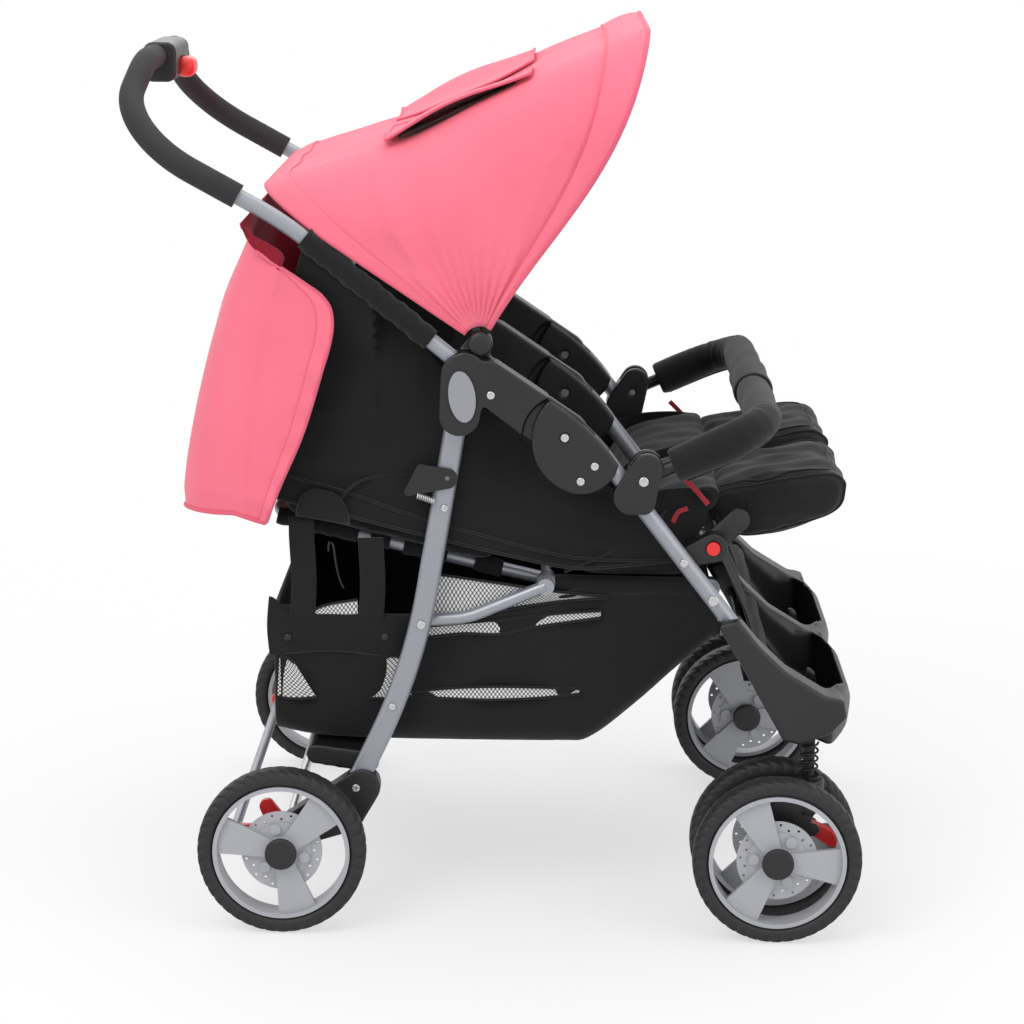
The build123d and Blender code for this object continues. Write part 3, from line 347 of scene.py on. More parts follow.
def buildUneven():
    # slow patches and fine specks, for colour and roughness that aren't quite even; on cloth the slow patches place
    # painted shade
    group, given, result = newGroup("uneven finish and shade patches", [("Vector", "NodeSocketVector", None),
                                                      ("Patch Scale", "NodeSocketFloat", 12.0),
                                                      ("Speck Scale", "NodeSocketFloat", 900.0)],
                                    [("Patches", "NodeSocketFloat"), ("Specks", "NodeSocketFloat")])
    for label, socket, detail in (("Patches", "Patch Scale", 4.0), ("Specks", "Speck Scale", 2.0)):
        noise = group.nodes.new("ShaderNodeTexNoise")
        noise.inputs["Detail"].default_value = detail
        group.links.new(given.outputs["Vector"], noise.inputs["Vector"])
        group.links.new(given.outputs[socket], noise.inputs["Scale"])
        group.links.new(noise.outputs["Fac"], result.inputs[label])
    return group


def buildCreases():
    # long soft wrinkles: noise stretched along one direction, with its ridges sharpened
    group, given, result = newGroup("cloth creases", [("Vector", "NodeSocketVector", None),
                                                      ("Size", "NodeSocketFloat", 9.0)],
                                    [("Height", "NodeSocketFloat")])
    noise = group.nodes.new("ShaderNodeTexNoise")
    noise.inputs["Detail"].default_value = 3.0
    noise.inputs["Distortion"].default_value = 1.2
    group.links.new(given.outputs["Vector"], noise.inputs["Vector"])
    group.links.new(given.outputs["Size"], noise.inputs["Scale"])
    ridge = mathNode(group, "ABSOLUTE", mathNode(group, "SUBTRACT", noise.outputs["Fac"], 0.5))
    group.links.new(mathNode(group, "POWER", ridge, 0.7), result.inputs["Height"])
    return group


weaveGroup = buildWeave()
unevenGroup = buildUneven()
creaseGroup = buildCreases()


def shade(red, green, blue):
    # a display colour of 0 to 255 as the shader's linear colour
    c = np.array([red, green, blue]) / 255
    return (*np.where(c <= 0.04045, c / 12.92, ((c + 0.055) / 1.055) ** 2.4), 1.0)


def groupNode(tree, group, vector, **values):
    # a shared group placed in a material, with its own values
    node = tree.nodes.new("ShaderNodeGroup")
    node.node_tree = group
    tree.links.new(vector, node.inputs["Vector"])
    for key, value in values.items():
        node.inputs[key.replace("_", " ")].default_value = value
    return node


def blendColour(tree, factor, first, second):
    # first where the factor is 0, second where it is 1
    mix = tree.nodes.new("ShaderNodeMix")
    mix.data_type = "RGBA"
    tree.links.new(factor, mix.inputs["Factor"])
    for socket, value in ((mix.inputs[6], first), (mix.inputs[7], second)):
        if isinstance(value, tuple):
            socket.default_value = value
        else:
            tree.links.new(value, socket)
    return mix.outputs[2]


def spread(tree, value, fromLow, fromHigh, low, high):
    # a value's range carried over to another range
    node = tree.nodes.new("ShaderNodeMapRange")
    tree.links.new(value, node.inputs["Value"])
    for key, number in zip(("From Min", "From Max", "To Min", "To Max"), (fromLow, fromHigh, low, high)):
        node.inputs[key].default_value = number
    return node.outputs[0]


def bumpNode(tree, height, distance, strength=1.0, before=None):
    # height in metres of relief, added over an earlier normal if there is one
    bump = tree.nodes.new("ShaderNodeBump")
    bump.inputs["Strength"].default_value = strength
    bump.inputs["Distance"].default_value = distance
    tree.links.new(height, bump.inputs["Height"])
    if before is not None:
        tree.links.new(before, bump.inputs["Normal"])
    return bump.outputs["Normal"]


def newMaterial(name, coordinates="Object"):
    # a material with its shader, and the coordinates that its patterns follow
    material = bpy.data.materials.new(name)
    material.use_nodes = True
    tree = material.node_tree
    shader = tree.nodes["Principled BSDF"]
    if coordinates == "UV":
        source = tree.nodes.new("ShaderNodeUVMap")
        source.uv_map = "cloth"
        return material, tree, shader, source.outputs[0]
    source = tree.nodes.new("ShaderNodeTexCoord")
    return material, tree, shader, source.outputs["Object"]


def clothMaterial(name, colour, dark, threads=1500.0, sheen=0.25, rough=0.85, creases=0.0012, weave=0.00012,
                  uv=True):
    # woven cloth: painted shade, the cloth's shaded colour, darkens it in slow random patches and in the thread gaps;
    # creases and threads raise it
    material, tree, shader, vector = newMaterial(name, "UV" if uv else "Object")
    woven = groupNode(tree, weaveGroup, vector, Threads=threads)
    uneven = groupNode(tree, unevenGroup, vector, Patch_Scale=7.0, Speck_Scale=700.0)
    folds = groupNode(tree, creaseGroup, vector, Size=8.0)
    # painted shade: slow random patches turn the cloth towards its shaded colour
    tint = spread(tree, uneven.outputs["Patches"], 0.3, 0.7, 0.0, 0.35)
    wornAndShaded = blendColour(tree, tint, colour, dark)
    # painted shade: the gaps between the threads take the cloth's shaded colour
    threadGapShade = spread(tree, woven.outputs["Thread Mask"], 0.0, 1.0, 0.28, 0.0)
    tree.links.new(blendColour(tree, threadGapShade, wornAndShaded, dark), shader.inputs["Base Color"])
    tree.links.new(spread(tree, uneven.outputs["Specks"], 0.3, 0.7, rough - 0.08, rough + 0.08),
                   shader.inputs["Roughness"])
    shader.inputs["Sheen Weight"].default_value = sheen
    shader.inputs["Sheen Roughness"].default_value = 0.5
    shader.inputs["Specular IOR Level"].default_value = 0.25
    normal = bumpNode(tree, folds.outputs["Height"], creases)
    tree.links.new(bumpNode(tree, woven.outputs["Height"], weave, before=normal), shader.inputs["Normal"])
    return material


def plasticMaterial(name, colour, wornAndShaded, rough=0.42, grain=0.00006, scale=1400.0):
    # moulded plastic or rubber: uneven gloss over a fine moulded grain
    material, tree, shader, vector = newMaterial(name)
    uneven = groupNode(tree, unevenGroup, vector, Patch_Scale=14.0, Speck_Scale=scale)
    tint = spread(tree, uneven.outputs["Patches"], 0.35, 0.75, 0.0, 0.6)
    tree.links.new(blendColour(tree, tint, colour, wornAndShaded), shader.inputs["Base Color"])
    tree.links.new(spread(tree, uneven.outputs["Patches"], 0.3, 0.7, rough - 0.05, rough + 0.07),
                   shader.inputs["Roughness"])
    tree.links.new(bumpNode(tree, uneven.outputs["Specks"], grain), shader.inputs["Normal"])
    return material


def metalMaterial(name, colour, wornAndShaded, rough=0.34, metallic=0.75, flake=2600.0):
    # painted or plated metal: fine flakes in the colour, slow patches in the gloss
    material, tree, shader, vector = newMaterial(name)
    uneven = groupNode(tree, unevenGroup, vector, Patch_Scale=9.0, Speck_Scale=flake)
    tint = spread(tree, uneven.outputs["Specks"], 0.35, 0.65, 0.0, 0.7)
    tree.links.new(blendColour(tree, tint, colour, wornAndShaded), shader.inputs["Base Color"])
    tree.links.new(spread(tree, uneven.outputs["Patches"], 0.3, 0.7, rough - 0.05, rough + 0.08),
                   shader.inputs["Roughness"])
    shader.inputs["Metallic"].default_value = metallic
    tree.links.new(bumpNode(tree, uneven.outputs["Specks"], 0.00002), shader.inputs["Normal"])
    return material


def netMaterial(name, cell, thread, pitch=290.0, opening=0.3):
    # diamonds of pale cloth between slanted dark threads
    material, tree, shader, vector = newMaterial(name, "UV")
    turn = tree.nodes.new("ShaderNodeMapping")
    turn.inputs["Rotation"].default_value = (0, 0, math.radians(45))
    tree.links.new(vector, turn.inputs["Vector"])
    woven = groupNode(tree, weaveGroup, turn.outputs[0], Threads=pitch)
    hole = spread(tree, woven.outputs["Thread Mask"], opening - 0.06, opening + 0.1, 0.0, 1.0)
    tree.links.new(blendColour(tree, hole, thread, cell), shader.inputs["Base Color"])
    shader.inputs["Roughness"].default_value = 0.6
    tree.links.new(bumpNode(tree, woven.outputs["Height"], 0.0004), shader.inputs["Normal"])
    return material


# each cloth's second colour is that cloth in shade, painted in as shade by clothMaterial
pinkCloth = clothMaterial("pink canvas", shade(248, 124, 144), shade(226, 97, 120), sheen=0.2)
pinkLining = clothMaterial("dark red lining", shade(150, 22, 44), shade(96, 12, 28), sheen=0.1)
pinkPiping = clothMaterial("pink piping", shade(238, 108, 132), shade(196, 70, 96), threads=2200.0, creases=0.0)
redPiping = clothMaterial("red piping", shade(178, 52, 66), shade(120, 26, 40), threads=2200.0, creases=0.0)
blackCloth = clothMaterial("black canvas", shade(23, 23, 25), shade(13, 13, 15), sheen=0.12, creases=0.0022)
blackPad = clothMaterial("black padding", shade(24, 24, 26), shade(13, 13, 14), sheen=0.18, creases=0.001, uv=False)
blackStrap = clothMaterial("black webbing", shade(19, 19, 20), shade(9, 9, 10), threads=900.0, creases=0.0,
                           weave=0.0003)
netCloth = netMaterial("silver net", shade(222, 222, 220), shade(58, 58, 60))
blackPlastic = plasticMaterial("black moulding", shade(18, 18, 20), shade(28, 28, 30))
knobPlastic = plasticMaterial("black knob", shade(18, 18, 20), shade(28, 28, 30), rough=0.5)
redPlastic = plasticMaterial("red moulding", shade(232, 48, 44), shade(200, 30, 30), rough=0.35)
coverGrey = metalMaterial("grey cover", shade(152, 153, 158), shade(140, 141, 146), rough=0.42, metallic=0.35)
rimGrey = metalMaterial("rim paint", shade(172, 173, 177), shade(160, 161, 166), rough=0.45, metallic=0.08)
silverPaint = metalMaterial("silver powder paint", shade(158, 160, 167), shade(140, 142, 150), rough=0.38,
                            metallic=0.55)
screwSteel = metalMaterial("zinc screws", shade(205, 205, 205), shade(170, 170, 172), rough=0.28, metallic=0.9)
springSteel = metalMaterial("dark spring", shade(52, 52, 55), shade(36, 36, 38), rough=0.4, metallic=0.8)
foamRubber = plasticMaterial("foam rubber", shade(36, 36, 38), shade(28, 28, 29), rough=0.82, grain=0.00035,
                             scale=650.0)
tyreRubber = plasticMaterial("tyre rubber", shade(25, 25, 27), shade(36, 36, 37), rough=0.62, grain=0.0001)
slotMaterials = {"silver_paint": silverPaint, "black_plastic": blackPlastic, "cover_grey": coverGrey,
                 "screw_steel": screwSteel, "spring_steel": springSteel, "black_fabric": blackCloth,
                 "pink_fabric": pinkCloth, "foam": foamRubber, "red_plastic": redPlastic,
                 "rim_grey": rimGrey, "tyre_rubber": tyreRubber}
darkNodes = {"caster_stem_left": springSteel, "caster_stem_right": springSteel}
for part in frame["record"]["subparts"]:
    target = nodes[part["node"]]
    finish = darkNodes.get(part["node"], slotMaterials[part["material_slot"]])
    for number in range(max(1, len(target.data.materials))):
        if len(target.data.materials) <= number:
            target.data.materials.append(finish)
        target.data.materials[number] = finish
print("materials set on the frame")

bodyOf = {node: body for body, held in frame["record"]["behaviour"]["bodies"].items() for node in held}
pivot = {joint["name"]: np.array(joint["pos_m"]) for joint in frame["record"]["behaviour"]["joints"]
         if "pos_m" in joint}


# ---- moulded pieces: the frame's own shapes with their edges worn round
moulded = {"fold_arms": (1.7, 5), "fold_knuckles": (1.7, 4), "bumper_brackets": (1.5, 4), "footrest": (2.8, 9),
           "leg_rest_hubs": (1.4, 3), "wheel_brackets": (1.7, 4), "handle_housing": (1.6, 4),
           "caster_fork_left": (1.7, 4), "caster_fork_right": (1.7, 4), "rear_cross_member": (2.6, 3)}


def roundedCopy(source, cell, rounds):
    # the frame's shape cut into even cells, whose corners are then worn round by smoothing
    obj = bpy.data.objects.new(source + "_moulded", nodes[source].data.copy())
    bpy.context.scene.collection.objects.link(obj)
    fixNormals(obj)
    addModifier(obj, "REMESH", "cells", mode="VOXEL", voxel_size=cell * mm)
    addModifier(obj, "SMOOTH", "worn edges", factor=0.5, iterations=rounds)
    return bake(obj)


for source, (cell, rounds) in moulded.items():
    shell = roundedCopy(source, cell, rounds)
    place(shell, blackPlastic, bodyOf[source], [source])
print("moulded pieces rounded")


# ---- wheels
tread = {"around": 336, "across": 40, "grooves": 42, "slant": 1.3, "depth": 1.9, "power": 3.2}


def buildTyre(tyreNode, rimNode):
    # a superellipse section turned about the axle; diagonal grooves are cut where a cosine wave that
    # slides with the distance across the tyre is high, and only near the shoulders
    low, high = (np.array(c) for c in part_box(tyreNode))
    rimLow, rimHigh = (np.array(c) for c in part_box(rimNode))
    centre = (low + high) / 2
    outer = (high[0] - low[0]) / 2
    inner = (rimHigh[2] - rimLow[2]) / 2
    half = (high[1] - low[1]) / 2
    a = np.linspace(0, 2 * np.pi, tread["around"], endpoint=False)[:, None]
    b = np.linspace(0, 2 * np.pi, tread["across"], endpoint=False)[None, :]
    c, s = np.cos(b), np.sin(b)
    y = half * np.sign(c) * np.abs(c) ** (2 / tread["power"])
    r = (outer - inner) / 2 * np.sign(s) * np.abs(s) ** (2 / tread["power"])
    wave = np.cos(tread["grooves"] * a + tread["slant"] * 2 * np.pi * np.abs(y) / half)
    shoulder = ease(s, -0.25, 0.3) * ease(np.abs(y) / half, 0.2, 0.5)
    sink = tread["depth"] * mm * ease(wave, 0.25, 0.75) * shoulder
    shrink = 1 - sink / np.hypot(y, r)
    radius = (outer + inner) / 2 + r * shrink
    points = np.stack([centre[0] + radius * np.cos(a), centre[1] + y * shrink + 0 * a,
                       centre[2] + radius * np.sin(a)], -1)
    tyre = gridObject(tyreNode + "_tread", points, wrapU=True, wrapV=True)
    fixNormals(tyre)
    return place(tyre, tyreRubber, bodyOf[tyreNode], [tyreNode])


capProfile = [(0.0, 5.0), (10.0, 4.95), (15.0, 4.8), (17.6, 4.5), (18.7, 3.4), (18.9, -0.5), (0.0, -0.5)]
for sign in sides:
    name = sideName[sign]
    wheels = [(f"front_tyre_{name}_outer", f"front_rim_{name}_outer", sign),
              (f"front_tyre_{name}_inner", f"front_rim_{name}_inner", -sign),
              (f"rear_tyre_{name}", f"rear_rim_{name}", sign)]
    for tyreNode, rimNode, outward in wheels:
        tyre = buildTyre(tyreNode, rimNode)
        low, high = (np.array(c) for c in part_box(tyreNode))
        face = (low + high) / 2
        face[1] = high[1] if outward > 0 else low[1]
        cap = turnedObject(rimNode + "_cap", face, (0, outward, 0), np.array(capProfile) * mm, count=56)
        place(cap, knobPlastic, bodyOf[rimNode])
print("wheels dressed")


# ---- screws and knobs
screwSets = [("front_frame", 314.6, 4.7, ((363, 563), (347, 545))), ("front_frame", 316.6, 5.7, ((420, 546),)),
             ("front_frame", 308.6, 4.7, ((469, 448),)), ("front_frame", 308.6, 6.2, ((504.4, 402.9),)),
             ("handle_frame", 314.6, 4.7, ((242, 645),)), ("front_frame", 314.6, 4.7, ((328, 596),)),
             ("rear_frame", 277.0, 4.2, ((188, 503), (127, 260))), ("rear_frame", 277.0, 5.2, ((161, 361),)),
             ("rear_frame", 283.0, 4.7, ((84, 160),))]


def crossSlot(radius):
    # a dome with a cross sunk into its middle
    def ripple(angle, r):
        dome = 0.0005 * (1 - (r / radius) ** 2)
        x, y = r * np.cos(angle), r * np.sin(angle)
        bar = (np.minimum(np.abs(x), np.abs(y)) < 0.16 * radius) & (r < 0.62 * radius)
        return dome - 0.0009 * bar
    return ripple


def screwObject(name, centre, outward, radius):
    # a low dome with a turned-down rim
    rows = [(radius * k, 0.0) for k in (0, 0.15, 0.3, 0.45, 0.58, 0.66, 0.8, 0.92)]
    rows += [(radius, -0.0005), (radius * 1.02, -0.0016)]
    return turnedObject(name, centre, (0, outward, 0), rows, count=36, ripple=crossSlot(radius))


for sign in sides:
    byBody = {}
    for body, y, radius, points in screwSets:
        for number, (x, z) in enumerate(points):
            screw = screwObject("screw", spots((x, z, sign * (y + 0.3))), sign, radius * mm)
            byBody.setdefault(body, []).append(screw)
    for body, parts in byBody.items():
        heads = joined(f"{body}_screws_{sideName[sign]}", parts)
        place(heads, screwSteel, body)
    knobFace = pivot["canopy_fold"] * (1, 0, 1) + (0, sign * 0.3018, 0)
    knobRows = np.array([(0, 7.6), (7.0, 7.4), (11.5, 6.6), (13.8, 4.8), (14.4, 2.0), (14.4, -0.6), (0, -0.6)]) * mm
    knob = turnedObject(f"canopy_knob_{sideName[sign]}", knobFace, (0, sign, 0), knobRows, count=48)
    place(knob, knobPlastic, "handle_frame")
print("screws and knobs placed")

# ---- hood: a fan of arches about the canopy pivot, each arch two straight sides, two round corners and a flat top
hood = {"sections": ((146.5, 306), (128, 262), (109, 246), (90, 274), (76, 324), (62, 398)), "corner": 110,
        "rear": 146.5, "front": 62.0, "bulge": 6.0, "start": 20, "wall": 1.6, "brimWidth": 5.6, "hemWidth": 5.5,
        "angles": 110, "around": 170}
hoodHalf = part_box("canopy_hood")[1].y / mm - 0.4


def hoodPoints(angles, offset=0.0, start=None, s=None, ruffle=1.0):
    # rows of arches; s runs from 0 at the right foot to 1 at the left foot of each arch
    start = hood["start"] if start is None else start
    s = np.linspace(0, 1, hood["around"]) if s is None else s
    curve = smoothPath(hood["sections"], 120)
    order = np.argsort(curve[:, 0])
    height = np.interp(angles, curve[order, 0], curve[order, 1])[:, None] + offset
    half = np.full_like(height, hoodHalf) + offset
    corner = hood["corner"]
    side = height - start - corner
    arc = corner * np.pi / 2
    top = 2 * (half - corner)
    total = 2 * side + 2 * arc + top
    d = np.minimum(s, 1 - s)[None, :] * total
    bend = np.clip((d - side) / arc, 0, 1) * np.pi / 2
    along = np.clip(d - side - arc, 0, None)
    across = half - corner + corner * np.cos(bend) - along
    out = start + np.minimum(d, side) + corner * np.sin(bend)
    sign = np.where(s < 0.5, -1, 1)[None, :]
    a = np.asarray(angles)[:, None]
    onSide = 1 - np.clip(bend / (np.pi / 2), 0, 1)
    fade = ease(out, 30, 150)
    pull = ease(hood["rear"] - a, 0, 10) * ease(a - hood["front"], 0, 8)
    pleats = (5.5 * np.exp(-((a - 131 + 10 * ease(out, 80, 260)) / 3.4) ** 2)
              - 4.5 * np.exp(-((a - 122 + 8 * ease(out, 60, 240)) / 5.0) ** 2)
              + 3.0 * np.exp(-((a - 106) / 7.0) ** 2) - 3.0 * np.exp(-((a - 88) / 8.0) ** 2)
              + 2.0 * np.exp(-((a - 74) / 3.0) ** 2))
    gathers = 1.6 * np.sin(a * 0.9) * np.exp(-((out - 60) / 55) ** 2) * ease(out, 22, 45)
    slow = 1.8 * np.sin(0.021 * out + 0.13 * a) + 1.2 * np.sin(0.043 * out - 0.21 * a + 1.7)
    top2 = 2.2 * np.sin(0.02 * across + 0.11 * a) + 1.4 * np.sin(0.047 * across - 0.17 * a)
    lift = ruffle * pull * (onSide * fade * (pleats + slow) + onSide * gathers + (1 - onSide) * top2)
    sagTop = -7.0 * (1 - onSide) * np.sin(np.pi * np.clip((a - 62) / 46, 0, 1)) ** 2 * (1 - (across / half) ** 2)
    y = sign * (across + lift * onSide)
    out = out + (lift + ruffle * sagTop) * (1 - onSide)
    forward = hood["bulge"] * ease(96 - a, 0, 34) * np.sin(np.pi * np.clip(out / (height + 1), 0, 1))
    turned = np.radians(a - forward)
    hub = pivot["canopy_fold"]
    return np.stack([hub[0] + mm * out * np.cos(turned), mm * y + 0 * turned,
                     hub[2] + mm * out * np.sin(turned)], -1)


hoodHub = pivot["canopy_fold"] * (1, 0, 1)
hoodAngles = np.linspace(hood["rear"], hood["front"], hood["angles"])
hoodSheet = gridObject("hood_cloth", hoodPoints(hoodAngles), inside=hoodHub)
brimAngles = np.linspace(hood["front"] + hood["brimWidth"], hood["front"], 14)
puff = 1.4 + 5.0 * np.sin(np.linspace(0.12, 2.6, 14))[:, None]
brimSheet = gridObject("hood_brim", hoodPoints(brimAngles, offset=puff, start=26), inside=hoodHub)
hemAngles = np.linspace(hood["rear"], hood["rear"] - hood["hemWidth"], 12)
hemSheet = gridObject("hood_hem", hoodPoints(hemAngles, offset=1.8, start=30), inside=hoodHub)
frontEdge = hoodPoints(np.array([hood["front"]]), offset=2.6)[0]
backEdge = hoodPoints(np.array([hood["rear"]]), offset=0.8)[0]
seamLine = hoodPoints(np.array([hood["front"] + hood["brimWidth"]]), offset=1.6, start=26)[0]
edgePipe = sweptObject("hood_front_piping", frontEdge, ring(3.4 * mm, 10), up=(0.88, 0, -0.47))
hemPipe = sweptObject("hood_rear_piping", backEdge, ring(2.2 * mm, 8), up=(0.6, 0, 0.8))
seamPipe = sweptObject("hood_brim_seam", seamLine, ring(1.3 * mm, 8), up=(0.88, 0, -0.47))
hoodPieces = [hoodSheet, brimSheet, hemSheet, edgePipe, hemPipe, seamPipe]
for piece, wall in ((hoodSheet, hood["wall"]), (brimSheet, 1.4), (hemSheet, 1.2)):
    piece.data.materials.append(pinkCloth)
    thicken(piece, wall * mm, offset=-1.0, lining=pinkLining if piece is hoodSheet else None)
    bake(piece)
for piece in (edgePipe, hemPipe, seamPipe):
    piece.data.materials.append(pinkPiping)

windows = {"angles": (117, 80), "near": 48, "far": 222, "lift": 17.0, "wall": 1.5}


def windowPatch(sign, low, high, near, far, offset, lift, count=36):
    # a patch of the hood's top, raised most along its outer and rear edges
    angles = np.linspace(low, high, count)
    curve = smoothPath(hood["sections"], 120)
    order = np.argsort(curve[:, 0])
    height = np.interp(angles, curve[order, 0], curve[order, 1])
    flat = hoodHalf - hood["corner"]
    distance = np.linspace(near, far, count)
    bend = np.clip((distance - flat) / hood["corner"], 0, np.pi / 2)[None, :]
    radius = hood["corner"] + offset
    edge = ease(distance, near + 0.45 * (far - near), far)[None, :]
    rise = lift * edge * np.sin(np.pi * np.linspace(0.08, 0.92, count))[:, None]
    across = np.minimum(distance, flat)[None, :] + (radius + rise) * np.sin(bend)
    a = np.radians(angles)[:, None]
    sagTop = -7.0 * np.sin(np.pi * np.clip((angles - 62) / 46, 0, 1))[:, None] ** 2 * (1 - (across / hoodHalf) ** 2)
    out = height[:, None] - hood["corner"] + (radius + rise) * np.cos(bend) + sagTop
    hub = pivot["canopy_fold"]
    return np.stack([hub[0] + mm * out * np.cos(a), sign * mm * across + 0 * a,
                     hub[2] + mm * out * np.sin(a)], -1)


for sign in sides:
    name = sideName[sign]
    low, high = windows["angles"]
    patch = windowPatch(sign, low, high, windows["near"], windows["far"], 4.5, windows["lift"])
    window = gridObject(f"hood_window_flap_{name}", patch, inside=hoodHub)
    window.data.materials.append(pinkCloth)
    thicken(window, windows["wall"] * mm, offset=-1.0)
    bake(window)
    rim = np.concatenate([patch[:, 0][::-1], patch[0, 1:], patch[1:, -1], patch[-1, ::-1][1:-1]])
    edge = sweptObject(f"hood_window_edge_{name}", smoothPath(rim, 160, closed=True), ring(1.7 * mm, 8),
                       up=(0.1, 0, 1), closed=True)
    edge.data.materials.append(pinkPiping)
    opening = windowPatch(sign, low - 3, high + 3, windows["near"] + 14, windows["far"] - 12, 3.0, 0.0)
    net = gridObject(f"hood_window_net_{name}", opening, inside=hoodHub)
    net.data.materials.append(blackStrap)
    hoodPieces += [window, edge, net]
for piece in hoodPieces:
    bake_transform(piece)
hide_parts("canopy_hood")
print("hood made")

# ---- rear flap: level bands from a curved front edge along each side, round the corners and across the back
flap = {"edge": ((-47, 838), (-30, 809), (22, 773), (50, 752), (58, 730), (56, 704), (47, 672), (24, 596),
                 (-4, 530), (-20, 487)),
        "back": ((-47, 838), (-71, 760), (-97, 660), (-114, 570), (-122, 498)), "half": 301, "corner": 62,
        "peak": 44, "lean": 40, "rows": 70, "wall": 1.8}


def flapPoints():
    # each level runs from the front edge back along the side, round a quarter circle and over to the middle;
    # the left half is then mirrored
    edge = smoothPath(flap["edge"], flap["rows"])
    back = smoothPath(flap["back"], flap["rows"])
    half = flap["half"]
    corner = flap["corner"]
    t = np.linspace(0, 1, flap["rows"])[:, None]
    sideShare = np.linspace(0, 1, 34)[:-1]
    arc = np.linspace(0, np.pi / 2, 14)
    middle = np.linspace(0, 1, 26)[1:]
    cornerStart = back[:, 0] + corner * ease(t[:, 0], 0.0, 0.12)
    reach = cornerStart - back[:, 0]
    x = np.concatenate([edge[:, :1] + (cornerStart - edge[:, 0])[:, None] * sideShare,
                        back[:, :1] + reach[:, None] * (1 - np.sin(arc)),
                        np.repeat(back[:, :1], len(middle), 1)], 1)
    y = np.concatenate([np.full((flap["rows"], len(sideShare)), half),
                        half - corner * (1 - np.cos(arc)) + 0 * t,
                        (half - corner) * (1 - middle) + 0 * t], 1)
    q = np.concatenate([sideShare, np.ones(len(arc) + len(middle))])
    z = edge[:, 1:] + (back[:, 1:] - edge[:, 1:]) * ease(q, 0, 1)
    rise = (1 - (y / half) ** 4) * (1 - ease(t, 0, 0.3))
    z = z + flap["peak"] * rise
    x = x + flap["lean"] * rise
    hang = ease(t, 0.02, 0.3)
    sway = 2.6 * np.sin(0.031 * y + 2.2 * t) + 1.8 * np.sin(0.077 * y - 3.0 * t + 1.0)
    pleat = 3.2 * np.exp(-((x - back[:, :1] - 44 - 30 * t) / 9) ** 2) * (y > half - 1)
    pinch = 1.5 * np.sin(z * 0.14 + 0.6 * x / 10) * np.exp(-((x - edge[:, :1]) / 22) ** 2) * ease(t, 0.3, 0.5)
    tuck = 4.0 * ease(t, 0.93, 1.0)
    flatBack = ease(half - y, 0, corner)
    x = x + hang * flatBack * sway + tuck * flatBack
    y = y + (1 - flatBack) * (hang * (pleat + pinch + 0.6 * sway) - tuck)
    left = spots(np.stack([x, z, y], -1))
    right = spots(np.stack([x, z, -y], -1))[:, ::-1][:, 1:]
    return np.concatenate([left, right], 1)


flapGrid = flapPoints()
flapInside = spots((60, 640, 0))
flapSheet = gridObject("rear_flap_cloth", flapGrid, inside=flapInside)
fixNormals(flapSheet)
flapSheet.data.materials.append(pinkCloth)
thicken(flapSheet, flap["wall"] * mm, offset=-1.0, lining=pinkLining)
bake(flapSheet)
border = np.concatenate([flapGrid[4:, 0], flapGrid[-1, 1:-1], flapGrid[4:, -1][::-1]])
flapPipe = sweptObject("rear_flap_piping", smoothPath(border[::3], 420), ring(2.3 * mm, 8), up=(0.13, 0.61, 0.4))
bandShift = np.array([0, 1, 0]) * 1.1 * mm
flapBands = []
for sign, columns in ((1, slice(0, 8)), (-1, slice(-8, None))):
    band = gridObject("band", flapGrid[6:, columns] + sign * bandShift, inside=flapInside)
    band.data.materials.append(pinkCloth)
    thicken(band, 1.2 * mm, offset=0.0)
    flapBands.append(bake(band))
flapBand = joined("rear_flap_hem", flapBands)
flapPipe.data.materials.append(pinkPiping)
for piece in (flapSheet, flapPipe, flapBand):
    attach(piece, "handle_frame")
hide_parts("rear_flap")
print("rear flap made")

# ---- black side cloth between a top line and a bottom line, flaring out to the handle tube at its top
panel = {"top": ((24, 812), (80, 765), (150, 706), (196, 650), (236, 616), (282, 590), (330, 552), (404, 512),
                 (462, 446)),
         "bottom": ((-60, 526), (-14, 509), (60, 491), (140, 471), (236, 449), (322, 431), (360, 429), (410, 434),
                    (456, 440)),
         "inner": 260.2, "flare": 292, "flareEnd": 168, "wall": 2.2, "rows": 60, "columns": 130}


def panelPoints(sign, offset=0.0, low=0.0, high=1.0, rows=panel["rows"]):
    # straight lines between the bottom and top lines, with folds pressed in and the top flared out
    u = np.linspace(0.0, 1.0, panel["columns"])
    v = np.linspace(low, high, rows)[:, None]
    top, bottom = (smoothPath(panel[key], 400) for key in ("top", "bottom"))
    at = np.linspace(0, 1, 400)
    topLine = np.stack([np.interp(u, at, top[:, k]) for k in (0, 1)], -1)
    bottomLine = np.stack([np.interp(u, at, bottom[:, k]) for k in (0, 1)], -1)
    xz = bottomLine[None] * (1 - v[..., None]) + topLine[None] * v[..., None]
    x, z = xz[..., 0], xz[..., 1]
    flare = ease(v, 0.72, 1.0) * (1 - ease(x, panel["flareEnd"] - 40, panel["flareEnd"]))
    y = panel["inner"] + (panel["flare"] - panel["inner"]) * flare
    inward = 3.4 * np.sin(0.026 * x + 0.013 * z) + 2.4 * np.sin(0.041 * x - 0.03 * z + 1.1) + 1.5 * np.sin(
        0.083 * z + 0.02 * x)
    folds = (3.0 * np.exp(-((z - 548 + 0.28 * (x - 60)) / 9) ** 2)
             + 2.6 * np.exp(-((z - 610 - 0.2 * (x - 30)) / 11) ** 2))
    edge = ease(v, 0, 0.06) * ease(1 - v, 0, 0.06)
    clear = ease(np.abs(x - 190 + 0.12 * (600 - z)), 24, 60)
    y = y - edge * (3.0 + inward * 0.8 - folds) * clear - 1.2 * (1 - clear) + offset
    y = np.minimum(y, np.where(x > panel["flareEnd"] - 60, panel["inner"] + 0.3 + offset, 400))
    return spots(np.stack([x, z, sign * y], -1))


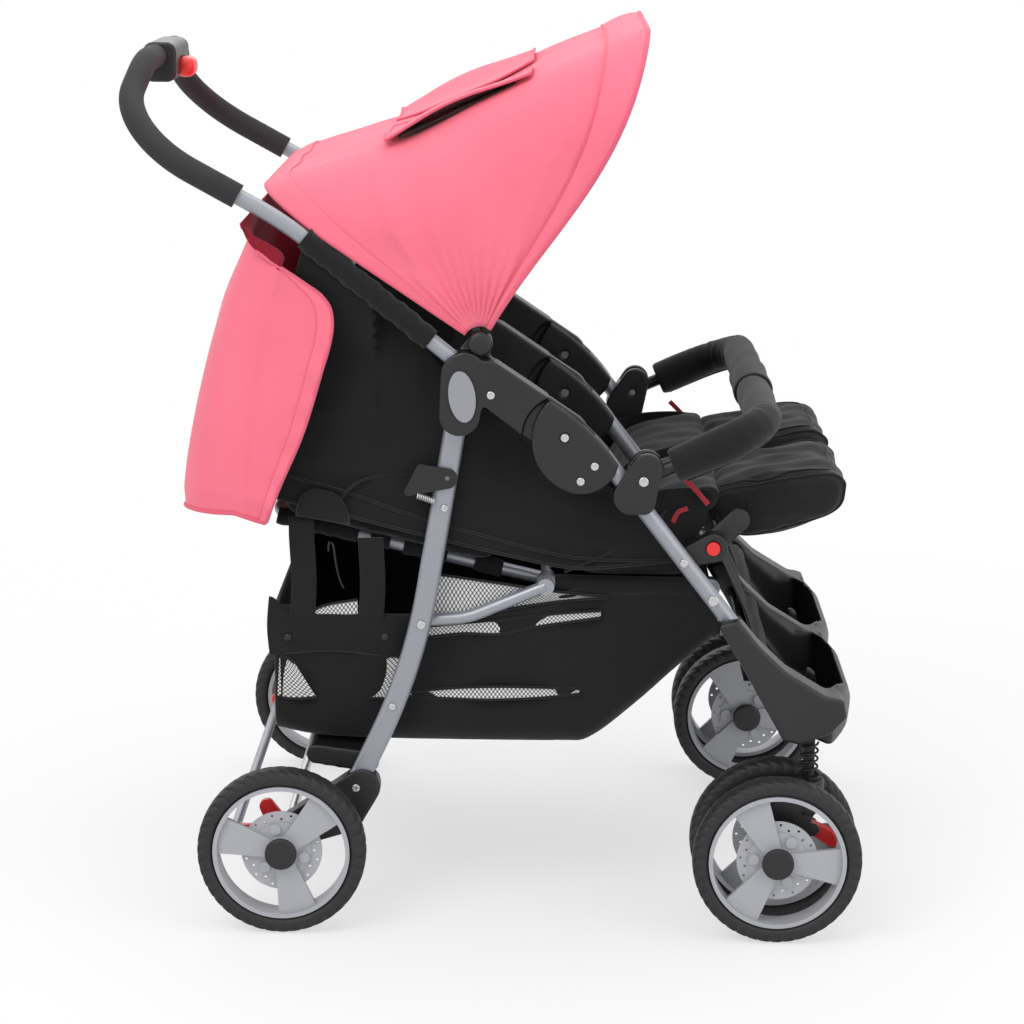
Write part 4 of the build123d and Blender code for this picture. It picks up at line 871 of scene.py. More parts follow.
for sign in sides:
    name = sideName[sign]
    cloth = gridObject(f"side_cloth_{name}", panelPoints(sign), inside=spots((200, 560, 0)))
    cloth.data.materials.append(blackCloth)
    thicken(cloth, panel["wall"] * mm, offset=-1.0)
    bake(cloth)
    trims = []
    for low, high in ((0.0, 0.012), (0.105, 0.117)):
        line = panelPoints(sign, 0.8, (low + high) / 2, (low + high) / 2 + 0.001, rows=2)[0]
        trims.append(sweptObject("trim", line, ring(2.0 * mm, 8), up=(0, 1, 0)))
    for seam in (((60, 505), (90, 532), (150, 540), (176, 528)), ((330, 424), (370, 442), (420, 470), (448, 500))):
        curve = smoothPath(seam, 60)
        line = spots(np.stack([curve[:, 0], curve[:, 1], np.full(60, sign * (panel["inner"] - 1.5))], -1))
        trims.append(sweptObject("trim", line, ring(1.6 * mm, 8), up=(0, 1, 0)))
    welts = joined(f"side_cloth_welts_{name}", trims)
    welts.data.materials.clear()
    welts.data.materials.append(blackStrap)
    for piece in (cloth, welts):
        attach(piece, "handle_frame")
        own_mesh(piece)
    if sign < 0:
        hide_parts("side_panels")
print("side cloth made")

# ---- sleeve of the side cloth around the handle tube
sleeve = {"start": (172, 706), "end": (26, 822), "radius": 13.2, "across": 296}
for sign in sides:
    count = 90
    share = np.linspace(0, 1, count)[:, None]
    line = np.array(sleeve["start"]) * (1 - share) + np.array(sleeve["end"]) * share
    path = spots(np.concatenate([line, np.full((count, 1), sign * sleeve["across"])], 1))
    a = np.linspace(0, 2 * np.pi, 24, endpoint=False)
    wrinkle = 1 + 0.05 * np.sin(share * 60 + 2 * np.cos(a)) + 0.04 * np.sin(share * 23 + a)
    section = ring(sleeve["radius"] * mm, 24)[None] * wrinkle[..., None]
    sock = sweptObject(f"tube_sleeve_{sideName[sign]}", path, section, up=(0, 1, 0))
    place(sock, blackCloth, "handle_frame")
print("tube sleeves made")

# ---- padded pieces: a closed form is filled with soft air, then sewn
def inflate(obj, name, cap, pressure=4.0, cell=5.0):
    # even cells are blown up as cloth under pressure, and no place moves further than the cap
    addModifier(obj, "REMESH", "cells", mode="VOXEL", voxel_size=cell * mm)
    bake(obj)
    start = np.empty(len(obj.data.vertices) * 3)
    obj.data.vertices.foreach_get("co", start)
    cloth = obj.modifiers.new("filling", "CLOTH")
    cloth.settings.use_pressure = True
    cloth.settings.uniform_pressure_force = pressure
    cloth.settings.quality = 5
    cloth.settings.effector_weights.gravity = 0
    cloth.point_cache.frame_start = 1
    cloth.point_cache.frame_end = 20
    for number in range(1, 21):
        bpy.context.scene.frame_set(number)
    bake(obj)
    bpy.context.scene.frame_set(1)
    end = np.empty(len(start))
    obj.data.vertices.foreach_get("co", end)
    move = (end - start).reshape(-1, 3)
    size = np.linalg.norm(move, axis=1)[:, None]
    end = start.reshape(-1, 3) + move * np.minimum(1, cap * mm / np.maximum(size, 1e-9))
    obj.data.vertices.foreach_set("co", end.ravel())
    obj.data.update()
    obj.name = name
    return obj


def meshPoints(obj):
    # the mesh's places as rows
    p = np.empty(len(obj.data.vertices) * 3)
    obj.data.vertices.foreach_get("co", p)
    return p.reshape(-1, 3)


def setPoints(obj, points):
    # rows of places back into the mesh
    obj.data.vertices.foreach_set("co", np.ascontiguousarray(points).ravel())
    obj.data.update()
    obj.data.shade_smooth()


def mirrored(obj, name):
    # the same piece on the other side, with its faces turned out again
    copy = bpy.data.objects.new(name, obj.data.copy())
    bpy.context.scene.collection.objects.link(copy)
    setPoints(copy, meshPoints(copy) * (1, -1, 1))
    copy.data.flip_normals()
    return copy


def slab(lengthHalf, acrossHalf, depthHalf, planPower=9.0, edgePower=3.2, count=72, rows=26):
    # a superellipsoid: a rounded-rectangle plan whose edge is a smaller superellipse
    plan = roundBar(1.0, 1.0, planPower, count)
    w = np.linspace(-np.pi / 2, np.pi / 2, rows)[1:-1]
    c, h = np.cos(w), np.sin(w)
    reach = np.abs(c) ** (2 / edgePower)
    lift = np.sign(h) * np.abs(h) ** (2 / edgePower)
    scale = np.array([lengthHalf, acrossHalf])
    flat = plan[None] * (scale - depthHalf * 0.9 * (1 - reach[:, None, None]))
    return np.concatenate([flat, np.broadcast_to((depthHalf * lift)[:, None, None], flat.shape[:2] + (1,))], 2)


def groove(distance, depth, width):
    # a bell-shaped dip: deepest on the seam line, gone a few widths away
    return depth * np.exp(-(distance / width) ** 2)


# seat cushions
seat = {"rear": 334, "front": 496, "low": 414.3, "high": 452.3, "across": 135, "half": 110}
form = slab((seat["front"] - seat["rear"]) / 2 - 4, seat["half"] - 4, (seat["high"] - seat["low"]) / 2 - 4)
cushionPoints = spots(np.stack([form[..., 0] + (seat["front"] + seat["rear"]) / 2,
                                form[..., 2] + (seat["high"] + seat["low"]) / 2,
                                form[..., 1] + seat["across"]], -1))
cushion = inflate(gridObject("cushion", cushionPoints, wrapV=True, capEnds=True), "seat_cushion_left", 10)
p = meshPoints(cushion)
fromMiddle = (p - cushionPoints.reshape(-1, 3).mean(0)) / mm
upward = ease(fromMiddle[:, 2], 0, 10)
sewn = groove(fromMiddle[:, 0] - 12, 7, 7) + groove(np.abs(fromMiddle[:, 1]) - 62, 6, 7)
p[:, 2] -= mm * upward * np.minimum(sewn, 8)
p[:, 2] = np.maximum(p[:, 2], (seat["low"] - 1.5) * mm)
setPoints(cushion, p)
addModifier(cushion, "SMOOTH", "soft seams", factor=0.5, iterations=2)
bake(cushion)
cushions = {1: cushion, -1: mirrored(cushion, "seat_cushion_right")}
for sign, piece in cushions.items():
    place(piece, blackPad, "seat", ["seat_cushions"] if sign > 0 else [])
    smoother(piece)
    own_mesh(piece)
print("cushions filled")

# backrest pads, lying along the line from the hinge to the end of the back
back = {"hinge": (308.0, 405.0), "end": (-14.0, 479.0), "near": 58.0, "far": 336.0, "under": 8.3, "thick": 20.0}
along = np.array(back["end"]) - np.array(back["hinge"])
along /= np.linalg.norm(along)
normal = np.array([-along[1], along[0]])
normal *= np.sign(normal[1])


def backSpots(distance, height, y):
    # places given by the distance from the hinge along the back and the height above it
    xz = np.asarray(back["hinge"]) + np.asarray(distance)[..., None] * along + np.asarray(height)[..., None] * normal
    return spots(np.concatenate([xz, np.asarray(y)[..., None] * np.ones(xz.shape[:-1] + (1,))], -1))


form = slab((back["far"] - back["near"]) / 2 - 3, seat["half"] - 3, back["thick"] / 2 - 1, planPower=7.0,
            edgePower=2.6)
padMiddle = ((back["far"] + back["near"]) / 2, back["under"] + back["thick"] / 2)
padPoints = backSpots(form[..., 0] + padMiddle[0], form[..., 2] + padMiddle[1], form[..., 1] + seat["across"])
pad = inflate(gridObject("pad", padPoints, wrapV=True, capEnds=True), "backrest_padding_left", 7)
p = meshPoints(pad)
origin = backSpots(0.0, 0.0, 0.0)
alongWay = np.array([along[0], 0, along[1]])
normalWay = np.array([normal[0], 0, normal[1]])
distance = (p - origin) @ alongWay / mm
height = (p - origin) @ normalWay / mm
sewn = sum(groove(distance - at, 5.0, 6.0) for at in (125, 195, 265))
sewn = np.minimum(sewn + groove(np.abs(p[:, 1] / mm - seat["across"]) - 76, 4.0, 6.0), 6.5)
p -= mm * (ease(height, 14, 20) * sewn)[:, None] * normalWay
below = np.minimum(0, (p - origin) @ normalWay - (back["under"] - 1.0) * mm)
p -= below[:, None] * normalWay
setPoints(pad, p)
addModifier(pad, "SMOOTH", "soft seams", factor=0.5, iterations=2)
bake(pad)
pads = {1: pad, -1: mirrored(pad, "backrest_padding_right")}
for sign, piece in pads.items():
    place(piece, blackPad, f"backrest_{sideName[sign]}", [f"backrest_pad_{sideName[sign]}"])
    smoother(piece)
print("backrest pads filled")

# leg rest muffs: a rounded outline carried across, pulled in at its two ends
muff = {"outline": ((494, 501), (507, 478), (535, 465), (578, 470), (620, 480), (650, 494), (666, 514), (668, 533),
                    (650, 545), (605, 540), (540, 530), (499, 518)),
        "power": 10.0, "seam": 99.0, "fill": 0.97}
outline = smoothPath(muff["outline"], 90, closed=True)
middle = outline.mean(0)
v = np.sin(np.linspace(-np.pi / 2, np.pi / 2, 46))[1:-1]
shrink = (1 - np.abs(v) ** muff["power"]) ** (1 / muff["power"])
shape = middle + (outline - middle)[None] * (0.3 + 0.7 * shrink[:, None, None]) * muff["fill"]
muffPoints = spots(np.concatenate([shape, np.broadcast_to((seat["across"] + (seat["half"] - 3) * v)[:, None, None],
                                                          shape.shape[:2] + (1,))], 2))
pouch = inflate(gridObject("pouch", muffPoints, wrapV=True, capEnds=True), "leg_rest_muff_left", 4.5)
p = meshPoints(pouch)
normals = np.empty(len(p) * 3)
pouch.data.vertices.foreach_get("normal", normals)
normals = normals.reshape(-1, 3)
y = p[:, 1] / mm - seat["across"]
x, z = (p[:, 0] - axleX) / mm, p[:, 2] / mm
pinch = groove(np.abs(y) - muff["seam"], 2.6, 4.0) + groove(y, 1.6, 8.0)
# long soft folds run forward over the top, and short ones gather behind the nose
onTop = ease(normals[:, 2], 0.1, 0.8)
pinch = pinch + onTop * (1.7 * np.sin(0.13 * y + 0.018 * x + 1.3 * np.sin(0.035 * x))
                         + 1.1 * np.sin(0.07 * x - 0.06 * y)
                         + 1.5 * np.exp(-((y + 40 - 0.5 * (x - 570)) / 9) ** 2))
pinch = pinch + (1 - onTop) * (1.3 * np.sin(0.1 * z + 0.045 * y + 0.03 * x) + 0.8 * np.sin(0.21 * z - 0.02 * x))
p -= mm * pinch[:, None] * normals
setPoints(pouch, p)
addModifier(pouch, "SMOOTH", "soft seams", factor=0.5, iterations=2)
bake(pouch)
muffs = {1: pouch, -1: mirrored(pouch, "leg_rest_muff_right")}
for sign, piece in muffs.items():
    name = sideName[sign]
    place(piece, blackPad, f"legrest_{name}")
    smoother(piece)
    skin = surfaceTree(piece)
    seams = []
    for end in (-1, 1):
        line = middle + (outline - middle) * 1.06
        path = spots(np.concatenate([line, np.full((len(line), 1), sign * (seat["across"] + end * 101.0))], 1))
        seams.append(sweptObject("seam", smoothPath(laid(skin, path)[::3], 160, closed=True), ring(1.8 * mm, 8),
                                 up=(0, 1, 0), closed=True))
    crown = smoothPath(((502, 540, -93), (560, 552, -94), (620, 562, -92), (644, 562, -84), (655, 556, -60),
                        (656, 556, 0), (655, 556, 60), (644, 562, 84), (620, 562, 92), (560, 552, 94),
                        (502, 540, 93)), 150)
    crown[:, 2] = sign * (seat["across"] + crown[:, 2])
    seams.append(sweptObject("seam", smoothPath(laid(skin, spots(crown), 0.3 * mm)[::4], 200), ring(1.5 * mm, 8),
                             up=(0, 0.05, 1)))
    seams = joined(f"leg_rest_seams_{name}", seams)
    place(seams, blackStrap, f"legrest_{name}")
print("leg rests filled")

# the leg rest's hinge arms beside the muff, in black moulding
for sign in sides:
    name = sideName[sign]
    turn = np.linspace(0, 2 * np.pi, 48, endpoint=False)[:, None]
    ends = np.where(np.cos(turn - 0.77) < 0, (504.0, 461.0), (534.0, 490.0))
    profile = ends + 13.6 * np.concatenate([np.cos(turn), np.sin(turn)], 1)
    centre = profile.mean(0)
    plates = []
    for y in (15.3, 258.15):
        layers = ((0.02, -3.0), (0.95, -3.0), (1.0, -2.3), (1.0, 2.3), (0.95, 3.0), (0.02, 3.0))
        grid = np.stack([np.concatenate([centre + (profile - centre) * k, np.full((48, 1), sign * (y + d))], 1)
                         for k, d in layers])
        plates.append(gridObject("plate", spots(grid), wrapV=True, capEnds=True))
    for start, end, radius in ((0.3, 12.0, 7.9), (261.0, 270.2, 9.9)):
        stub = sweptObject("stub", spots([(504, 461, sign * y) for y in np.linspace(start, end, 6)]),
                           ring(radius * mm, 32), up=(0, 0, 1))
        plates.append(stub)
    plates = joined(f"leg_rest_arms_{name}", plates)
    place(plates, blackPlastic, f"legrest_{name}", [f"leg_rest_{name}"])
print("leg rest arms made")


# ---- harness: webbing over the back pad and the cushion
def webbing(name, path, width, thickness=1.7, up=(0, 0, 1)):
    # a flat bar with rounded edges carried along the path
    return sweptObject(name, path, roundBar(width / 2 * mm, thickness / 2 * mm, 6.0, 24), up=up)


def buckle(name, centre, ahead, normalWay, size=(44, 34, 11)):
    # a flat superellipsoid with a raised button
    across = np.cross(normalWay, ahead)
    form = slab(size[0] / 2, size[1] / 2, size[2] / 2, planPower=4.0, edgePower=4.0, count=48, rows=16)
    top = slab(9, 9, 3, planPower=2.0, edgePower=3.0, count=32, rows=12)
    parts = []
    for shape, lift in ((form, 0.0), (top, size[2] / 2)):
        points = centre + mm * (shape[..., :1] * ahead + shape[..., 1:2] * across
                                + (shape[..., 2:] + lift) * normalWay)
        parts.append(gridObject("buckle", points, wrapV=True, capEnds=True))
    return joined(name, parts)


for sign in sides:
    name = sideName[sign]
    body = f"backrest_{name}"
    straps = []
    for side in (-1, 1):
        d = np.linspace(262, 82, 60)
        h = 31.5 + 5.0 * np.sin(np.pi * (262 - d) / 180) - 4 * ease(d, 235, 262)
        y = seat["across"] + side * (40 - 30 * ease(262 - d, 70, 180))
        straps.append(webbing("strap", backSpots(d, h, sign * y), 24, up=tuple(normalWay)))
        d = np.linspace(62, 82, 40)
        y = seat["across"] + side * np.linspace(100, 12, 40)
        h = 20 + 14 * ease(np.linspace(0, 1, 40), 0, 0.7)
        straps.append(webbing("strap", backSpots(d, h, sign * y), 24, up=tuple(normalWay)))
        d = np.linspace(245, 150, 40)
        h = 34.5 + 4.0 * np.sin(np.pi * (262 - d) / 180)
        y = seat["across"] + side * (40 - 30 * ease(262 - d, 70, 180))
        cover = sweptObject("pad", backSpots(d, h, sign * y), roundBar(21 * mm, 4.5 * mm, 3.0, 28),
                            up=tuple(normalWay))
        straps.append(cover)
    straps = joined(f"harness_straps_{name}", straps)
    place(straps, blackStrap, body)
    clip = buckle(f"harness_buckle_{name}", backSpots(74.0, 40.0, sign * seat["across"]), alongWay, normalWay)
    place(clip, knobPlastic, body)
    reach = np.linspace(0, 1, 40)
    start = spots((396, 452, sign * seat["across"]))
    end = backSpots(64.0, 38.0, sign * seat["across"])
    path = start[None] * (1 - reach[:, None]) + end[None] * reach[:, None]
    path[:, 2] += mm * 9 * np.sin(np.pi * reach)
    crotch = webbing(f"harness_crotch_{name}", path, 30)
    crotch.data.materials.append(blackStrap)
    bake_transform(crotch)
print("harness made")


# ---- bumper bar: two cornered sleeves and a middle one with a zip
def bentPath(points, bend, step=3.0):
    # straight runs joined by arcs of one radius, sampled every few millimetres
    p = [np.asarray(q, float) for q in points]
    path = [p[0]]
    for a, b, c in zip(p, p[1:], p[2:]):
        first, second = (a - b) / np.linalg.norm(a - b), (c - b) / np.linalg.norm(c - b)
        half = math.acos(np.clip(first @ second, -1, 1)) / 2
        centre = b + (first + second) / np.linalg.norm(first + second) * bend / math.sin(half)
        start, end = b + first * bend / math.tan(half), b + second * bend / math.tan(half)
        turn = math.pi - 2 * half
        for k in np.linspace(0, 1, 14):
            path.append(centre + (math.sin((1 - k) * turn) * (start - centre) + math.sin(k * turn) * (end - centre))
                        / math.sin(turn))
    path.append(p[-1])
    path = np.array(path)
    reach = np.concatenate([[0], np.cumsum(np.linalg.norm(np.diff(path, axis=0), axis=1))])
    even = np.linspace(0, reach[-1], max(3, int(reach[-1] / step)))
    return np.stack([np.interp(even, reach, path[:, k]) for k in range(3)], -1)


bumper = {"pivot": (420.0, 546.0), "corner": (561.0, 608.5), "across": 296.0, "bend": 60.0, "setback": 38.0,
          "middle": 60.0, "gap": 3.0, "radius": 21.5, "middleRadius": 24.0}
ahead = np.array(bumper["corner"]) - np.array(bumper["pivot"])
ahead /= np.linalg.norm(ahead)
sleeveStart = np.array(bumper["pivot"]) + bumper["setback"] * ahead


def wrinkledRing(path, radius, deep, seed):
    # a round section whose radius has short rings at the bend, a slow drift, and turned-in ends
    count = 36
    a = np.linspace(0, 2 * np.pi, count, endpoint=False)[None, :]
    reach = np.concatenate([[0], np.cumsum(np.linalg.norm(np.diff(path, axis=0), axis=1))])[:, None]
    tangent = np.gradient(path, axis=0)
    tangent /= np.linalg.norm(tangent, axis=1)[:, None]
    bending = np.linalg.norm(np.gradient(tangent, axis=0), axis=1)[:, None]
    bending = bending / max(bending.max(), 1e-9)
    rings = 0.5 * np.sin(reach * 0.37 + 1.9 * np.sin(a + seed) + seed) + 0.35 * np.sin(
        reach * 0.23 + 2.6 * np.cos(a - seed)) + 0.3 * np.sin(reach * 0.61 + 2.2 * np.sin(2 * a + seed))
    rings = deep * (0.2 + bending) * rings * (0.4 + 0.6 * np.sin(reach * 0.045 + a + seed) ** 2)
    drift = 0.7 * np.sin(reach * 0.05 + 2 * a + seed)
    ends = np.minimum(reach, reach[-1] - reach)
    shape = radius * (0.90 + 0.10 * np.sqrt(np.clip(ends / 5, 0, 1))) + rings + drift
    return np.stack([shape * np.cos(a), shape * np.sin(a)], -1) * mm


sleeves = []
for sign in sides:
    path = bentPath([(*sleeveStart, sign * bumper["across"]), (*bumper["corner"], sign * bumper["across"]),
                     (*bumper["corner"], sign * (bumper["middle"] + bumper["gap"]))], bumper["bend"], 2.4)
    sleeve = sweptObject(f"bumper_sleeve_{sideName[sign]}", spots(path),
                         wrinkledRing(path, bumper["radius"], 0.7, sign + 2.0), up=(-ahead[1], 0.0, ahead[0]))
    sleeves.append(sleeve)
path = bentPath([(*bumper["corner"], -bumper["middle"]), (*bumper["corner"], bumper["middle"])], 1.0, 2.4)
sleeves.append(sweptObject("bumper_sleeve_middle", spots(path),
                           wrinkledRing(path, bumper["middleRadius"], 0.5, 0.4), up=(0, 0, 1)))
for number, sleeve in enumerate(sleeves):
    place(sleeve, blackPad, "bumper", ["bumper_pads"] if number == 0 else [])
zips = []
for sign in sides:
    path = bentPath([(*(sleeveStart + 8 * ahead), sign * bumper["across"]),
                     (*bumper["corner"], sign * bumper["across"]),
                     (*bumper["corner"], sign * (bumper["middle"] + bumper["gap"] + 6))], bumper["bend"], 2.4)
    under = path + np.array([ahead[1], -ahead[0], 0]) * (bumper["radius"] + 0.3)
    zips.append(sweptObject("zip", spots(under), roundBar(4.0 * mm, 0.9 * mm, 4.0, 16),
                            up=(-ahead[1], 0.0, ahead[0])))
zips = joined("bumper_zips", zips)
place(zips, blackStrap, "bumper")
print("bumper covered")

# ---- basket: U-shaped sections along its length, closed by a wall behind, running out to nothing in front
basket = {"top": ((-14, 372), (60, 365), (150, 364), (300, 380), (340, 398), (420, 400), (484, 397), (506, 378),
                  (518, 352)),
          "bottom": ((-10, 217), (20, 211), (74, 207), (200, 205), (328, 206), (364, 212), (417, 255), (461, 296),
                     (518, 346)),
          "half": 244.7, "corner": 34.0, "stations": 90, "wall": 1.8}


def basketSection(x, top, bottom, half, count=96):
    # across one station: down the right wall, over the floor and up the left wall
    depth = np.maximum(top - bottom, 0.5)
    corner = np.minimum(basket["corner"], depth * 0.8)
    s = np.linspace(0, 1, count)[None, :]
    side = depth - corner
    arc = corner * np.pi / 2
    floorWidth = 2 * (half - corner)
    total = 2 * side + 2 * arc + floorWidth
    d = np.minimum(s, 1 - s) * total
    turn = np.clip((d - side) / arc, 0, 1) * np.pi / 2
    rest = np.clip(d - side - arc, 0, None)
    y = half - corner * (1 - np.cos(turn)) - rest
    z = top - np.minimum(d, side) - corner * np.sin(turn)
    sign = np.where(s < 0.5, -1.0, 1.0)
    return x + 0 * s, y, z, sign, turn / (np.pi / 2)


def basketPoints():
    # sections between the top and bottom lines; the floor sags and the walls slacken away from their edges
    x = np.linspace(-14, 517, basket["stations"])[:, None]
    top, bottom = (smoothPath(basket[key], 200) for key in ("top", "bottom"))
    topLine = np.interp(x, top[:, 0], top[:, 1])
    bottomLine = np.interp(x, bottom[:, 0], bottom[:, 1])
    xx, y, z, sign, floorShare = basketSection(x, topLine, bottomLine, basket["half"])
    inside = ease(x, -14, 30) * ease(516 - x, 0, 40)
    sag = 7.0 * floorShare * inside * (1 - (y / basket["half"]) ** 2) * (0.6 + 0.4 * np.sin(0.02 * x))
    wall = (1 - floorShare) * inside * ease(topLine - z, 6, 40)
    slack = 3.0 * np.sin(0.023 * x + 0.03 * z) + 1.8 * np.sin(0.05 * x - 0.045 * z + 0.8) + 1.0 * np.sin(0.11 * x)
    dip = 6.0 * (1 - ease(topLine - z, 0, 60)) * np.sin(np.pi * np.clip(x / 516, 0, 1)) ** 2 * (1 - floorShare)
    y = y - wall * np.maximum(3.2 + slack, 0)
    z = z - sag - dip * 0.6
    return spots(np.stack([xx + 0 * y, z, sign * y], -1))


basketGrid = basketPoints()
basketMiddle = spots((210, 310, 0))
tub = gridObject("basket_cloth", basketGrid, inside=basketMiddle)
rearEdge = basketGrid[0]
count = len(rearEdge)
t = np.linspace(0, 1, 28)[:, None]
topHigh = rearEdge[:, 2].max()
bulge = 0.010 * np.sin(np.pi * t) * (1 - (rearEdge[:, 1] / 0.245) ** 2)
rear = np.stack([np.broadcast_to(rearEdge[:, 0], (28, count)) + bulge,
                 np.broadcast_to(rearEdge[:, 1], (28, count)),
                 rearEdge[None, :, 2] * (1 - t) + topHigh * t], -1)
keep = slice(8, -8)
rearWall = gridObject("rear_wall", rear[:, keep], inside=basketMiddle)
tub = joined("basket_cloth", [tub, rearWall])
fixNormals(tub)
tub.data.materials.append(blackCloth)
thicken(tub, basket["wall"] * mm, offset=1.0)
bake(tub)
binding = []
for column in (0, -1):
    line = smoothPath(basketGrid[::6, column], 200)
    binding.append(sweptObject("binding", line, roundBar(2.6 * mm, 5.0 * mm, 3.0, 16), up=(0, 0, 1)))
rearTop = rear[-1, keep][::8]
binding.append(sweptObject("binding", smoothPath(rearTop, 120), roundBar(2.6 * mm, 5.0 * mm, 3.0, 16),
                           up=(0, 0, 1)))
for row in (0, 52):
    line = smoothPath(basketGrid[row, 6:-6:3], 240)
    binding.append(sweptObject("binding", line, ring(1.8 * mm, 8), up=(1, 0, 0)))
bindings = joined("basket_binding", binding)
place(bindings, blackStrap)

# nets: each a window between an upper and a lower line on the side wall, with the lift off the wall
nets = (("rail", ((160, 418), (190, 415), (250, 407), (325, 397), (382, 392)),
         ((160, 365), (210, 366), (254, 374), (325, 386), (382, 391)), 4.0),
        ("brace", ((168, 352), (250, 361), (325, 370), (374, 374)),
         ((168, 339), (210, 344), (254, 344), (300, 354), (374, 366)), 1.6),
        ("floor", ((142, 269), (190, 275), (243, 278), (300, 278), (350, 277)),
         ((142, 265), (190, 263), (243, 262), (300, 265), (350, 271)), 0.8),
        ("inner", ((22, 366), (44, 376), (66, 381), (84, 384)), ((22, 365), (44, 364), (66, 364), (84, 365)), 3.0),
        ("rear", ((-10, 312), (0, 310), (8, 304)), ((-13, 262), (8, 260), (34, 262)), 1.2),
        ("leg", ((116, 312), (128, 316), (140, 318)), ((98, 262), (106, 262), (116, 262)), 1.2))
netPieces = []
hemLines = []
for sign in sides:
    for key, upper, lower, lift in nets:
        high, low = (smoothPath(line, 70) for line in (upper, lower))
        v = np.linspace(0, 1, 16)[:, None, None]
        grid = low[None] * (1 - v) + high[None] * v
        y = basket["half"] + lift - 2.0 * np.sin(np.pi * v[..., 0]) * (key == "rail")
        across = np.broadcast_to(sign * y, grid.shape[:2])[..., None]
        net = gridObject("net", spots(np.concatenate([grid, across], 2)), inside=basketMiddle)
        net.data.materials.append(netCloth)
        netPieces.append(net)
        for line in (high, low):
            path = np.concatenate([line, np.full((len(line), 1), sign * (basket["half"] + lift + 0.6))], 1)
            hemLines.append(sweptObject("hem", spots(path), ring(1.5 * mm, 8), up=(0, 1, 0)))
net = joined("basket_nets", netPieces)
hems = joined("basket_net_hems", hemLines)
place(hems, blackStrap)
# a turned-down band round the rear corner, puffed out, with two press studs on it
bandPieces, studs = [], []
for sign in sides:
    u = np.linspace(-1, 1, 70)[None, :]
    v = np.linspace(0, 1, 18)[:, None]
    x = np.maximum(60 + 92 * u, -22) + 0 * v
    upper = 362 + 26 * np.exp(-((x + 22) / 20) ** 2)
    z = 316 + 4 * np.sin(0.03 * x) + (upper - 316) * v
    puff = 7.5 * np.sin(np.pi * v) ** 0.7 * ease(x, -24, 10) * ease(152 - x, 0, 26)
    puff = puff + 1.2 * np.sin(0.09 * x + 0.1 * z) * np.sin(np.pi * v)
    y = basket["half"] + 1.2 + puff - 3.0 * ease(-x, 6, 30) + 0 * z
    x = x - 3 * np.sin(np.pi * v) * ease(-x, -6, 30)
    band = gridObject("band", spots(np.stack([x, z, sign * y], -1)), inside=basketMiddle)
    band.data.materials.append(blackCloth)
    thicken(band, 1.4 * mm, offset=1.0)
    bandPieces.append(bake(band))
    for spot in ((1, 338), (117, 340)):
        studs.append(turnedObject("stud", spots((*spot, sign * (basket["half"] + 10.4))), (0, sign, 0),
                                  np.array(((0, 1.8), (3.4, 1.5), (4.6, 0.6), (4.8, -1.2), (0, -1.2))) * mm, count=28))
band = joined("basket_band", bandPieces)
studs = joined("basket_studs", studs)
place(studs, knobPlastic)
for piece in (tub, bindings, net, hems, band, studs):
    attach(piece, "front_frame")
    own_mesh(piece)
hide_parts("basket")
print("basket hung")

# ---- fabric tunnels on the backrest tubes, with the tube bare between them
tunnels = []
for sign in sides:
    for start, end in ((54, 88), (122, 175), (192, 216), (231, 330)):
        d = np.linspace(start, end, 60)
        a = np.linspace(0, 2 * np.pi, 24, endpoint=False)[None, :]
        fold = 1 + 0.05 * np.sin(d[:, None] * 0.33 + 2 * np.cos(a)) + 0.03 * np.sin(d[:, None] * 0.12 + a)
        path = backSpots(d, 0 * d, sign * (seat["across"] + 80.0))
        tunnels.append((sign, sweptObject("tunnel", path, ring(10.2 * mm, 24)[None] * fold[..., None], up=(0, 1, 0))))
for sign in sides:
    tunnel = joined(f"back_tunnels_{sideName[sign]}", [obj for side, obj in tunnels if side == sign])
    place(tunnel, blackCloth, f"backrest_{sideName[sign]}")

# ---- straps that hold the basket up to the side cloth
hangerValues = {"tops": ((101, 462), (19, 486)), "low": 350, "width": 30, "highAcross": 257.0, "lowAcross": 247.5}
for sign in sides:
    hangers = []
    for x, high in hangerValues["tops"]:
        z = np.linspace(high, hangerValues["low"], 24)
        y = np.linspace(hangerValues["highAcross"], hangerValues["lowAcross"], 24)
        path = spots(np.stack([x + 1.2 * np.sin(0.05 * z), z, sign * y], -1))
        hangers.append(webbing("hanger", path, hangerValues["width"], up=(0, 1, 0)))
    hanger = joined(f"basket_hangers_{sideName[sign]}", hangers)
    place(hanger, blackStrap, "front_frame")
    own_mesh(hanger)
print("straps hung")

